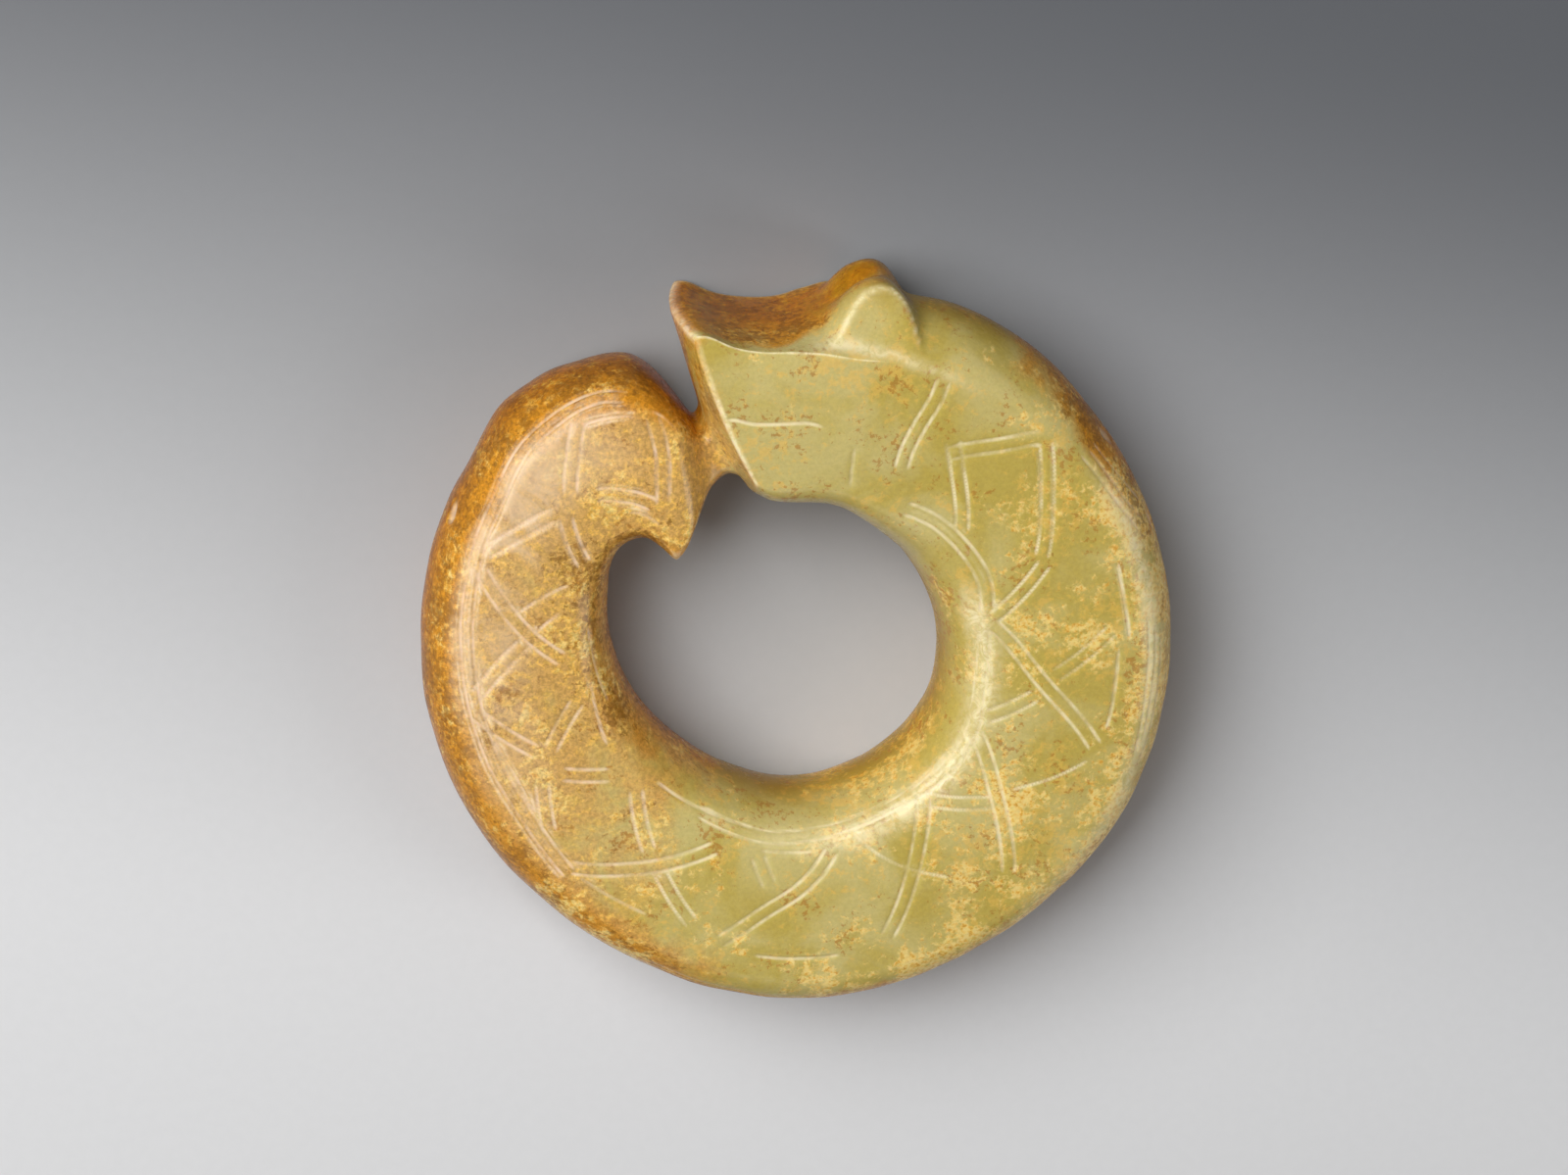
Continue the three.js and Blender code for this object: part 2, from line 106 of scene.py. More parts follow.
# Horns: the top in the plan, the fullness of the slope to the snout, the lean of the flat side in
# radians, and in millimetres how deep they root and how far they may rise
HORN_TOP = (6.5, 32)
HORN_BREADTH = 1.3
HORN_FACET_LEAN = 0.42
HORN_ROOT = 7
HORN_ROOT_LEAST = 1
HORN_RISE = 6
HORN_HALVINGS = 24
HORN_PASSES = 3
# A direction that rises less than this never meets the flat side, which then lies far off
FACET_LEAST_RISE = 0.05
FACET_FAR = 100
# Rise over which a horn counts as raised, and width of the painted highlight along the ridge round its
# flat side
RAISED_FROM = 0.15
RAISED_FULL = 0.6
RIDGE_WIDTH = 0.3

# Incised lines, each through (station, share across from the hole to the rim) on the front.
PAIRS = {
    "tail border": ((36.2, 0.9), (34.9, 0.91), (33.7, 0.88), (32.5, 0.85), (31.4, 0.83), (30.3, 0.8),
                    (29.2, 0.77), (28.1, 0.75), (27.1, 0.73), (26, 0.75)),
    "tail box right": ((37.25, 0.85), (37.4, 0.62), (36.75, 0.35)),
    "tail box left": ((34.35, 0.84), (33.25, 0.51)),
    "tail box foot": ((33.8, 0.43), (34.9, 0.35), (36.2, 0.32)),
    "tail slant": ((32.7, 0.5), (31.35, 0.74), (31.15, 0.79)),
    "tail fork": ((32.8, 0.46), (31.95, 0.21)),
    "tail cross": ((29.95, 0.47), (29.2, 0.71), (29.05, 0.76)),
    "tail back": ((30.9, 0.79), (30.1, 0.48), (29.6, 0.28)),
    "tail bar": ((28.75, 0.25), (27.95, 0.48)),
    "tail short bar": ((28.85, 0.78), (28.6, 0.7), (28, 0.53)),
    "tail step": ((27.5, 0.48), (27, 0.28)),
    "tail foot": ((27.5, 0.58), (26.7, 0.69)),
    "lower left bar": ((26.45, 0.24), (25.3, 0.43)),
    "lower left sweep": ((26.1, 0.73), (25.2, 0.5), (24.2, 0.25)),
    "lower left slant": ((25, 0.47), (24, 0.64)),
    "inner border": ((25, 0.14), (23.5, 0.14), (21.9, 0.11), (20.3, 0.1), (18.9, 0.12), (17.5, 0.14),
                     (15.9, 0.13), (14.3, 0.16)),
    "bottom tick": ((23.3, 0.22), (22.9, 0.36)),
    "bottom sweep": ((21.6, 0.18), (22.3, 0.35), (23, 0.5), (23.55, 0.68)),
    "bottom bar": ((19.15, 0.14), (20, 0.35), (21, 0.66)),
    "bottom fork": ((19.2, 0.15), (18.2, 0.39)),
    "lower right bar": ((17.1, 0.15), (18.05, 0.37), (18.95, 0.68)),
    "neck inner": ((8.9, 0.2), (10.2, 0.22), (11.4, 0.23), (12.9, 0.24), (13.9, 0.2)),
    "right fork": ((13.25, 0.5), (14.1, 0.21)),
    "right sweep": ((14.25, 0.2), (15.6, 0.39), (16.6, 0.68)),
    "right slant": ((14.7, 0.7), (15.5, 0.44)),
    "right bar": ((15.9, 0.37), (16.7, 0.17)),
    "neck top": ((9.65, 0.49), (10.8, 0.635), (11.45, 0.79)),
    "neck left": ((9.6, 0.56), (10.4, 0.43), (11.7, 0.27)),
    "neck right": ((11.5, 0.79), (12.2, 0.66), (13.15, 0.49)),
    "gill": ((8.8, 0.78), (8.7, 0.67), (8.4, 0.54), (8.2, 0.44), (8.15, 0.35)),
}
SINGLES = {
    "tail box head": ((34.3, 0.81), (36.3, 0.81)),
    "tail long": ((31.1, 0.26), (30.3, 0.56)),
    "tail short": ((30.5, 0.3), (30.1, 0.43)),
    "tail inner foot": ((29.1, 0.16), (27.6, 0.22)),
    "tail long foot": ((28.4, 0.71), (27.6, 0.68), (26.9, 0.705)),
    "lower left inner": ((26.3, 0.15), (24.9, 0.13), (23.4, 0.11)),
    "bottom top": ((23.3, 0.2), (22, 0.18)),
    "bottom long": ((21.1, 0.13), (20.5, 0.32), (19.7, 0.52)),
    "bottom rim": ((23, 0.7), (21.7, 0.69)),
    "lower right tick": ((17.85, 0.41), (16.8, 0.67)),
    "right rim": ((13.7, 0.78), (14.2, 0.77), (14.9, 0.77)),
    "right rim foot": ((15, 0.72), (16.3, 0.7)),
    "mouth": ((0.15, 0.5), (3.6, 0.56), (4.8, 0.52)),
    "jaw tick": ((5.9, 0.41), (5.7, 0.19)),
}
# Shallow lines and wheel marks
FINE = {
    "tail inner": ((30.3, 0.14), (29.6, 0.12), (28.5, 0.11)),
    "hook": ((34.6, 0.26), (36.3, 0.21)),
    "lower left rim": ((25.9, 0.73), (24.7, 0.69)),
    "rim inner": ((12.05, 0.86), (12.9, 0.88), (13.5, 0.92)),
    "rim middle": ((12.1, 0.9), (12.9, 0.915), (13.4, 0.95)),
    "rim outer": ((12.1, 0.93), (12.7, 0.945), (13.2, 0.97)),
    "right mark": ((14.6, 0.86), (15.6, 0.85), (16.6, 0.86)),
    "right mark outer": ((14.8, 0.89), (15.7, 0.88), (16.4, 0.88)),
    "right mark edge": ((14.9, 0.92), (15.8, 0.91), (16.5, 0.91)),
    "foot mark": ((22.0, 0.93), (23.2, 0.92), (24.3, 0.92)),
    "foot mark middle": ((22.2, 0.955), (23.2, 0.95), (24.1, 0.95)),
    "foot mark edge": ((22.6, 0.975), (23.4, 0.972), (24.2, 0.975)),
}
# Chips on the rim: where each starts and ends
NICKS = {
    "neck": ((12.25, 0.985), (12.35, 0.99)),
    "right upper": ((13.5, 0.985), (13.62, 0.99)),
    "right": ((14.35, 0.985), (14.4, 0.99)),
    "left": ((31.3, 0.985), (31.42, 0.99)),
    "foot": ((21.0, 0.975), (21.1, 0.98)),
}
# The hidden back is plainer: one border and two short lines near the head
BACK_LINES = {
    "back border": ((30, 0.8), (27, 0.78), (24, 0.77), (21, 0.77), (18, 0.77), (15, 0.77)),
    "back gill": ((8.6, 0.68), (8.2, 0.35)),
    "back mouth": ((0.3, 0.5), (3.6, 0.55)),
}

# Facets of the carved mesh
ROWS = 586
MOUTH_ROWS = 12
FRONT_STEPS = 60
OUTER_UPPER_STEPS = 44
OUTER_LOWER_STEPS = 12
BACK_STEPS = 14
INNER_LOWER_STEPS = 8
INNER_UPPER_STEPS = 24
PLACES_PER_STATION = 60
RIM_WEIGHT = 0.25

# Small steps that find the directions on the stone, and the points along an incised line
STATION_NUDGE = 0.05
SHARE_NUDGE = 0.01
LINE_STEP = 0.25
LINE_ROUGH_POINTS = 40
LINE_LEAST_POINTS = 6
TINY = 1e-9

# Hand-ground waves: three slopes and a start each, and the heights over which they set in
WAVES = ((0.55, 0.31, 0.4, 0.3), (-0.38, 0.62, 0.2, 1.9), (0.83, -0.47, 0.3, 4.1),
         (0.21, 0.94, -0.5, 2.6), (-1.05, -0.36, 0.6, 5.2), (1.3, 0.9, 0.2, 0.8))
WAVES_FROM = 0.3
WAVES_FULL = 2.5

# Pale edges, partly rubbed stone and partly painted highlight: rows looked at on each side, least half
# width, bends that count, passes
EDGE_REACH = 2
EDGE_LEAST_HALF = 0.05
EDGE_BEND_FROM = 0.55
EDGE_BEND_FULL = 1.6
EDGE_PASSES = 2

# Masks painted on the mesh for the material, among them painted highlight, painted sheen and painted
# shade
PAINTED = ("amber", "stain", "fleck", "bloom", "wall", "rimward", "polish")

# Stage: the photo's turn and tilt in degrees, how far its middle lies from the drawing's in pixels,
# pixels to the metre, the height that the lights look at and the floor's drop under the stone
VIEW_YAW = 7
VIEW_PITCH = 20
VIEW_SHIFT = (12.5, 46)
VIEW_SCALE = 12000
MIDDLE_HEIGHT = 0.007
FLOOR_DROP = 0.00002


def length_property(name, description, default):
    return FloatProperty(name=name, description=description, default=default, unit="LENGTH")


def power_property(name, description, default):
    return FloatProperty(name=name, description=description, default=default, unit="POWER")


def colour_property(name, description, default):
    return FloatVectorProperty(name=name, description=description, default=default,
                               subtype="COLOR", size=3)


class PendantShape(bpy.types.PropertyGroup):
    """Sizes of the carved stone."""

    ring_width: length_property("Ring Width", "Width of the whole ring", 0.064)
    back_depth: length_property("Back Depth", "Flat back to the middle plane", 0.0069)
    head_front: length_property("Head Front", "Middle plane to the front of the head", 0.0073)
    neck_front: length_property("Neck Front", "Middle plane to the front of the neck", 0.0069)
    tail_front: length_property("Tail Front", "Middle plane to the front of the tail", 0.0062)
    bridge_half: length_property("Bridge Half", "Half the thickness of the bridge", 0.0033)
    front_crown: length_property("Front Crown", "Swell of the front between its shoulders", 0.00035)
    crown_width: length_property("Crown Width", "A face narrower than this swells less", 0.008)
    inner_shoulder: length_property("Inner Shoulder", "Rounding of the ring towards the hole", 0.0038)
    outer_shoulder: length_property("Outer Shoulder", "Rounding of the ring towards the rim", 0.0042)
    mouth_bulge: length_property(
        "Mouth Bulge", "Rounding of the mouth's face from front to back", 0.001)
    mouth_bow: length_property("Mouth Bow", "Bow of the mouth's face from jaw to snout", 0.0005)
    horn_offset: length_property("Horn Offset", "Middle plane to a horn's highest point", 0.003)
    horn_height: length_property("Horn Height", "A horn's top to its foot inside the body", 0.0055)
    horn_fore: length_property("Horn Fore", "Reach of a horn's foot to the snout", 0.0066)
    horn_aft: length_property("Horn Aft", "Reach of a horn's foot to the neck", 0.0031)
    horn_half: length_property(
        "Horn Half Thickness", "Reach of a horn's foot to the front or back", 0.0077)
    facet_drop: length_property(
        "Facet Drop", "This far below a horn's top, its flat side is measured", 0.004)
    facet_inset: length_property("Facet Inset", "Flat side of a horn in from the back face", 0.0007)
    waver: length_property("Waver", "Height of the slow waves that hand grinding leaves", 0.00009)
    softening: IntProperty(
        name="Softening", description="Passes that polish the crisp edges", default=3, min=0)


class PendantLines(bpy.types.PropertyGroup):
    """Sizes of the incised lines."""

    half_width: length_property("Half Width", "Half the width of an incised line", 0.0003)
    depth: length_property("Depth", "Depth of an incised line", 0.00016)
    gap: length_property("Gap", "Distance between the two lines of a pair", 0.0011)
    taper: length_property("Taper", "Length over which a line runs out at each end", 0.001)
    fine_half_width: length_property("Fine Half Width", "Half the width of a shallow line", 0.00026)
    fine_depth: length_property("Fine Depth", "Depth of a shallow line", 0.00009)
    nick_radius: length_property("Nick Radius", "Reach of a chip on the rim", 0.0009)
    nick_depth: length_property("Nick Depth", "Depth of a chip on the rim", 0.00028)


class PendantColours(bpy.types.PropertyGroup):
    """Colours of the stone."""

    green: colour_property("Green", "Body of the stone", (0.475, 0.365, 0.082))
    pale: colour_property("Pale", "Pale clouds in the green", (0.54, 0.45, 0.17))
    # Painted shade: the deeper colour laid on the steep sides
    shade_olive: colour_property("Olive", "Deeper tone of the walls and rims", (0.30, 0.19, 0.012))
    tan: colour_property("Tan", "Altered stone of the tail", (0.60, 0.355, 0.105))
    gold: colour_property("Gold", "Golden blotches of the altered stone", (0.80, 0.48, 0.10))
    amber: colour_property("Amber", "Orange alteration", (0.58, 0.25, 0.02))
    yellow: colour_property("Yellow", "Yellow flecks", (0.84, 0.64, 0.23))
    russet: colour_property("Russet", "Red-brown spots", (0.38, 0.15, 0.022))
    umber: colour_property("Umber", "Dark brown specks and stains", (0.24, 0.10, 0.015))
    cream: colour_property("Cream", "Ground stone in the incised lines", (0.88, 0.78, 0.48))
    # Painted shade: multiplies every colour on the steep sides
    wall_tone: colour_property("Wall Tone", "Deepens every colour on the walls", (0.84, 0.64, 0.12))
    blush: colour_property("Blush", "Ground stone in the lines of the tail", (0.86, 0.66, 0.44))
    # Whitish tail: partly calcified stone, partly painted sheen
    bloom: colour_property("Bloom", "Whitish bloom on the tail", (0.70, 0.52, 0.34))


class PendantStage(bpy.types.PropertyGroup):
    """Floor, light and camera."""

    floor_colour: colour_property("Floor Colour", "Pale floor on the near side", (0.64, 0.64, 0.645))
    floor_far: colour_property(
        "Floor Far", "Greyer tone of the floor behind the pendant", (0.105, 0.11, 0.12))
    floor_size: length_property("Floor Size", "Side of the square floor", 4.0)
    key_power: power_property("Key Power", "Power of the large soft light", 5.6)
    fill_power: power_property("Fill Power", "Power of the light from the near side", 0.4)
    side_power: power_property("Side Power", "Power of the strip light on the right", 1.0)
    sky: FloatProperty(
        name="Sky", description="Strength of the light from all round", default=0.055)
    distance: length_property("Camera Distance", "Camera to the middle of the pendant", 0.444)
    lens: FloatProperty(
        name="Lens", description="Focal length on a 36 mm frame", default=120.0, unit="CAMERA")


GROUPS = {
    "pendant_shape": PendantShape,
    "pendant_lines": PendantLines,
    "pendant_colours": PendantColours,
    "pendant_stage": PendantStage,
}


def in_mm(group, name):
    """A length property in millimetres."""
    return getattr(group, name) / MM


def smoothstep(low, high, value):
    t = np.clip((value - low) / (high - low), 0, 1)
    return t * t * (3 - 2 * t)


def catmull_rom(points, places):
    """Points on a smooth curve through a list, at places that count its entries."""
    points = np.asarray(points, float)
    places = np.asarray(places, float)
    first = 2 * points[0] - points[1]
    after = 2 * points[-1] - points[-2]
    padded = np.vstack([first, points, after])
    k = np.clip(np.floor(places).astype(int), 0, len(points) - 2)
    t = (places - k)[:, None]
    a, b, c, d = (padded[k + step] for step in range(4))
    return 0.5 * (2 * b + (c - a) * t + (2 * a - 5 * b + 4 * c - d) * t ** 2
                  + (3 * b - a - 3 * c + d) * t ** 3)


class Ring:
    """The dragon as cross-sections between two rails, from its mouth round to the bridge."""

    def __init__(self, shape):
        self.plan = in_mm(shape, "ring_width") / PLAN_PARTS
        self.back_depth = in_mm(shape, "back_depth")
        self.front_crown = in_mm(shape, "front_crown")
        self.crown_width = in_mm(shape, "crown_width")
        self.mouth_bulge = in_mm(shape, "mouth_bulge")
        self.mouth_bow = in_mm(shape, "mouth_bow")
        head_front = in_mm(shape, "head_front")
        neck_front = in_mm(shape, "neck_front")
        tail_front = in_mm(shape, "tail_front")
        bridge = in_mm(shape, "bridge_half")
        rows = []
        for k, (start, end, shoulders) in enumerate(HEAD):
            fall = smoothstep(HEAD_FULL, len(HEAD), k)
            height = head_front + (neck_front - head_front) * fall
            mouth = max(0, 1 - k / MOUTH_STATIONS)
            rows.append((start, end, (height, self.back_depth, *shoulders, mouth)))
        count = round((RING_FROM - RING_TO) / RING_STEP)
        hole_side = in_mm(shape, "inner_shoulder") / self.plan
        rim_side = in_mm(shape, "outer_shoulder") / self.plan
        for k in range(count + 1):
            degrees = RING_FROM - k * RING_STEP
            fall = smoothstep(TAIL_FALL * count, count, k)
            height = neck_front + (tail_front - neck_front) * fall
            rows.append((
                self.ring_point(INNER_RADII, degrees),
                self.ring_point(OUTER_RADII, degrees),
                (height, self.back_depth, hole_side, CIRCLE, rim_side, CIRCLE, rim_side, 0)))
        self.tip = len(rows) + HOOK_TIP
        for start, end, front, back, hole_side, rim_side in TAIL:
            rows.append((start, end, (
                bridge + (tail_front - bridge) * front,
                bridge + (self.back_depth - bridge) * back,
                hole_side, CIRCLE, rim_side, CIRCLE, rim_side, 0)))
        inner, outer, self.profiles = (np.array(values, float) for values in zip(*rows))
        self.inner = inner * self.plan
        self.outer = outer * self.plan
        self.last = len(rows) - 1

    @staticmethod
    def ring_point(radii, degrees):
        place = (CLOCK_START - degrees) / CLOCK_STEP
        radius = catmull_rom([(r,) for r in radii], [place])[0, 0]
        angle = math.radians(degrees)
        return radius * math.cos(angle), radius * math.sin(angle)

    def rails(self, places):
        """Points on the inner rail, which is sharp at the hook's point, and on the outer one."""
        places = np.asarray(places, float)
        before = catmull_rom(self.inner[:self.tip + 1], np.minimum(places, self.tip))
        after = catmull_rom(self.inner[self.tip:], np.maximum(places - self.tip, 0))
        inner = np.where((places <= self.tip)[:, None], before, after)
        return inner, catmull_rom(self.outer, places)

    def sections(self, places):
        """The cross-sections at a list of places, as columns of numbers."""
        inner, outer = self.rails(places)
        profile = catmull_rom(self.profiles, places)
        front, back, in_reach, in_power, out_reach, out_power, out_back, mouth = profile.T
        across = outer - inner
        width = np.linalg.norm(across, axis=1)
        across /= width[:, None]
        fit = np.minimum(self.plan, SHOULDER_SHARE * width / (in_reach + out_reach))
        columns = {
            "width": width, "front": front, "back": back, "mouth": mouth,
            "in_reach": in_reach * fit, "in_power": in_power, "out_power": out_power,
            "out_reach": out_reach * fit, "out_back": out_back * fit,
        }
        found = {name: value[:, None] for name, value in columns.items()}
        found["origin"] = inner
        found["across"] = across
        found["along"] = np.stack([-across[:, 1], across[:, 0]], axis=1)
        return found

    def place(self, section, distance, height):
        """Points of the sections by distance from the hole's side and height above the middle."""
        q = np.clip(distance / section["width"], 0, 1)
        reach = np.where(height > 0, section["front"], section["back"])
        level = np.clip(height / reach, -1, 1)
        swell = section["mouth"] * (self.mouth_bow * 4 * q * (1 - q)
                                    + self.mouth_bulge * (1 - level ** 2))
        plan = (section["origin"][:, None]
                + section["across"][:, None] * distance[..., None]
                + section["along"][:, None] * swell[..., None])
        return np.dstack([plan, height + self.back_depth])

    def front_height(self, section, distance):
        """Height of the front at a distance from the hole's side."""
        start = section["in_reach"]
        end = section["width"] - section["out_reach"]
        low = np.clip((start - distance) / start, 0, 1)
        high = np.clip((distance - end) / section["out_reach"], 0, 1)
        inner = np.sqrt(1 - low ** section["in_power"])
        outer = np.sqrt(1 - high ** section["out_power"])
        q = np.clip(2 * (distance - start) / (end - start) - 1, -1, 1)
        crown = self.front_crown * (1 - q ** 2)
        crown = crown * np.minimum(1, (end - start) / self.crown_width)
        return section["front"] * np.minimum(inner, outer) + crown

    def surface(self, stations, shares, back):
        """Points on the front or the back, and the directions out of the stone there."""
        def points(stations, shares):
            section = self.sections(stations)
            distance = shares[:, None] * section["width"]
            height = self.front_height(section, distance)
            if back:
                height = -section["back"] * np.ones_like(distance)
            return self.place(section, distance, height)[:, 0]

        stations = np.asarray(stations, float)
        shares = np.asarray(shares, float)
        here = points(stations, shares)
        onward = points(stations + STATION_NUDGE, shares) - here
        outward = points(stations, shares + SHARE_NUDGE) - here
        normal = np.cross(onward, outward) * (-1 if back else 1)
        return here, normal / np.linalg.norm(normal, axis=1)[:, None]


def row_places(ring, count):
    """Places of the rows, evenly apart on the stone, with one row on the hook's point."""
    fine = np.linspace(0, ring.last, PLACES_PER_STATION * ring.last + 1)
    inner, outer = ring.rails(fine)
    middle = 0.5 * (inner + outer)
    steps = np.linalg.norm(np.diff(middle, axis=0), axis=1)
    steps += RIM_WEIGHT * np.linalg.norm(np.diff(outer, axis=0), axis=1)
    length = np.concatenate([[0], np.cumsum(steps)])
    at_tip = np.interp(ring.tip, fine, length)
    before = round(count * at_tip / length[-1])
    lengths = np.concatenate([
        np.linspace(0, at_tip, before, endpoint=False),
        np.linspace(at_tip, length[-1], count - before)])
    return np.interp(lengths, length, fine)


def rim_arc(section, reach, power, steps, *angles):
    """How far a rim's arc stands in from its edge, and its height, on every section."""
    level = np.sin(np.linspace(*angles, steps, endpoint=False))
    height = level * np.where(level > 0, section["front"], section["back"])
    return section[reach] * (1 - (1 - level ** 2) ** (1 / section[power])), height


def section_loops(ring, section):
    """Distance and height of every point round the sections: front, rim, back, hole."""
    def outer_arc(reach, *steps_and_angles):
        inset, height = rim_arc(section, reach, "out_power", *steps_and_angles)
        return section["width"] - inset, height

    start = section["in_reach"]
    end = section["width"] - section["out_reach"]
    back_end = section["width"] - section["out_back"]
    face = start + (end - start) * np.linspace(0, 1, FRONT_STEPS, endpoint=False)
    base = back_end + (start - back_end) * np.linspace(0, 1, BACK_STEPS, endpoint=False)
    quarter = math.pi / 2
    parts = [
        (face, ring.front_height(section, face)),
        outer_arc("out_reach", OUTER_UPPER_STEPS, quarter, 0),
        outer_arc("out_back", OUTER_LOWER_STEPS, 0, -quarter),
        (base, -section["back"] * np.ones_like(base)),
        rim_arc(section, "in_reach", "in_power", INNER_LOWER_STEPS, -quarter, 0),
        rim_arc(section, "in_reach", "in_power", INNER_UPPER_STEPS, 0, quarter),
    ]
    return [np.concatenate(values, axis=1) for values in zip(*parts)]


def relax(values, passes):
    """Evens out a closed grid of points or numbers."""
    for _ in range(passes):
        around = (np.roll(values, 1, 0) + np.roll(values, -1, 0)
                  + np.roll(values, 1, 1) + np.roll(values, -1, 1))
        values = 0.5 * values + 0.125 * around
    return values


def raise_horns(ring, shape, section, distance, grid):
    """Lifts the rows behind the snout into two humps and cuts each one's flat side."""
    top_x, top_y = (v * ring.plan for v in HORN_TOP)
    root = np.maximum(section["width"] - HORN_ROOT, HORN_ROOT_LEAST)
    centre = ring.place(section, root, np.zeros_like(root))
    arm = grid - centre
    reach = np.linalg.norm(arm, axis=2)
    ray = arm / reach[..., None]

    def inside(radius):
        point = centre + ray * radius[..., None]
        x = point[..., 0] - top_x
        side = np.abs(point[..., 2] - ring.back_depth) - in_mm(shape, "horn_offset")
        length = np.where(x < 0, in_mm(shape, "horn_fore"), in_mm(shape, "horn_aft"))
        share = np.hypot(x / length, side / in_mm(shape, "horn_half"))
        slope = 0.5 * (1 - np.cos(math.pi * np.minimum(share, 1) ** HORN_BREADTH))
        dome = 1 - np.sqrt(1 - np.minimum(share, 1) ** 2)
        drop = in_mm(shape, "horn_height") * np.where(x < 0, slope, dome)
        foot_y = top_y - in_mm(shape, "horn_height")
        return (share < 1) & (point[..., 1] < top_y - drop) & (point[..., 1] > foot_y)

    low = reach.copy()
    high = reach + HORN_RISE
    for _ in range(HORN_HALVINGS):
        middle = 0.5 * (low + high)
        within = inside(middle)
        low = np.where(within, middle, low)
        high = np.where(within, high, middle)
    hump = np.where(inside(reach), low, reach)
    hump = reach + relax(hump - reach, HORN_PASSES)
    tilt_sin = math.sin(HORN_FACET_LEAN)
    tilt_cos = math.cos(HORN_FACET_LEAN)
    depth = ring.back_depth - in_mm(shape, "facet_inset")
    rise = ray[..., 1] * tilt_sin + np.abs(ray[..., 2]) * tilt_cos
    foot = (top_y - in_mm(shape, "facet_drop") - centre[..., 1]) * tilt_sin + depth * tilt_cos
    facet = np.where(rise > FACET_LEAST_RISE, foot / np.maximum(rise, FACET_LEAST_RISE), FACET_FAR)
    radius = np.maximum(reach, np.minimum(hump, facet))
    raised = smoothstep(RAISED_FROM, RAISED_FULL, radius - reach)
    # Where painted highlight runs along the ridge round the flat side
    ridge = raised * np.exp(-((hump - facet) / RIDGE_WIDTH) ** 2)
    return centre + ray * radius[..., None], ridge, raised


def grid_normals(grid, reach=1):
    """Directions out of a closed grid of points."""
    onward = np.roll(grid, -reach, 0) - np.roll(grid, reach, 0)
    outward = np.roll(grid, -reach, 1) - np.roll(grid, reach, 1)
    normal = np.cross(onward, outward)
    return normal / np.maximum(np.linalg.norm(normal, axis=2), TINY)[..., None]


def hand_ground(grid, height):
    """Slow uneven waves over all but the flat back, as grinding by hand leaves."""
    lift = sum(np.sin(grid @ np.array(wave[:3]) + wave[3]) for wave in WAVES) / len(WAVES)
    off_back = smoothstep(WAVES_FROM, WAVES_FULL, grid[..., 2])
    return grid + grid_normals(grid) * (height * lift * off_back)[..., None]


def carve_grid(ring, shape):
    """The carved stone as a closed grid of points, with each point's place on the ring."""
    places = row_places(ring, ROWS)
    section = ring.sections(places)
    distance, height = section_loops(ring, section)
    grid = ring.place(section, distance, height)
    grid, ridge, raised = raise_horns(ring, shape, section, distance, grid)
    share = distance / section["width"]
    level = height / np.where(height > 0, section["front"], section["back"])
    station = places[:, None] * np.ones_like(share)
    closing = np.linspace(0, 1, MOUTH_ROWS + 2)[1:-1, None]

    def closed(values, shares):
        """The rows with those of the mouth's end, which run from the last row to the first."""
        return np.concatenate([values, values[-1] + (values[0] - values[-1]) * shares])

    grid = closed(grid, closing[..., None])
    grid = hand_ground(relax(grid, shape.softening), in_mm(shape, "waver"))
    marks = {"share": closed(share, closing), "level": closed(level, closing)}
    flat = np.zeros((MOUTH_ROWS, share.shape[1]))
    for name, values in (("station", station), ("ridge", ridge), ("raised", raised)):
        marks[name] = np.concatenate([values, flat])
    return grid, marks


def grid_faces(rows, columns):
    """Four corners of each face of a closed grid, facing out."""
    r, c = np.meshgrid(np.arange(rows), np.arange(columns), indexing="ij")
    after_r = (r + 1) % rows
    after_c = (c + 1) % columns
    corners = (r * columns + c, after_r * columns + c, after_r * columns + after_c,
               r * columns + after_c)
    return np.stack([corner.ravel() for corner in corners], axis=1)


def new_mesh(name, points, faces=(), edges=()):
    """A mesh in metres from points in millimetres."""
    mesh = bpy.data.meshes.new(name)
    mesh.from_pydata((np.asarray(points) * MM).tolist(), np.asarray(edges, int).tolist(),
                     np.asarray(faces, int).tolist())
    mesh.update()
    return mesh


def link_object(name, data):
    piece = bpy.data.objects.new(name, data)
    bpy.context.scene.collection.objects.link(piece)
    return piece


def store(mesh, name, values):
    """Keeps one number for each point of a mesh."""
    layer = mesh.attributes.get(name) or mesh.attributes.new(name, "FLOAT", "POINT")
    layer.data.foreach_set("value", np.asarray(values, np.float32).ravel())


def line_points(ring, through, sideways, taper, lift, back=False):
    """Points along a line on the stone, set off sideways and lifted out at both ends."""
    through = np.array(through, float)
    rough = catmull_rom(through, np.linspace(0, len(through) - 1, LINE_ROUGH_POINTS))
    points, _ = ring.surface(rough[:, 0], rough[:, 1], back)
    length = np.linalg.norm(np.diff(points, axis=0), axis=1).sum()
    count = max(LINE_LEAST_POINTS, round(length / LINE_STEP))
    places = catmull_rom(through, np.linspace(0, len(through) - 1, count))
    points, normals = ring.surface(places[:, 0], places[:, 1], back)
    tangents = np.gradient(points, axis=0)
    side = np.cross(tangents, normals)
    side /= np.linalg.norm(side, axis=1)[:, None]
    points = points + side * sideways
    run = np.concatenate([[0], np.cumsum(np.linalg.norm(np.diff(points, axis=0), axis=1))])
    fade = np.clip(np.minimum(run, run[-1] - run) / taper, 0, 1)
    return points + normals * (lift * (1 - fade) ** 2)[:, None]


def line_object(name, runs, shift):
    """An object of loose edges along the lines, for the cutting tree to follow."""
    points, edges = [], []
    for run in runs:
        first = len(points)
        points.extend(run + shift)
        edges.extend((k, k + 1) for k in range(first, first + len(run) - 1))
    return link_object(name, new_mesh(name, points, edges=edges))


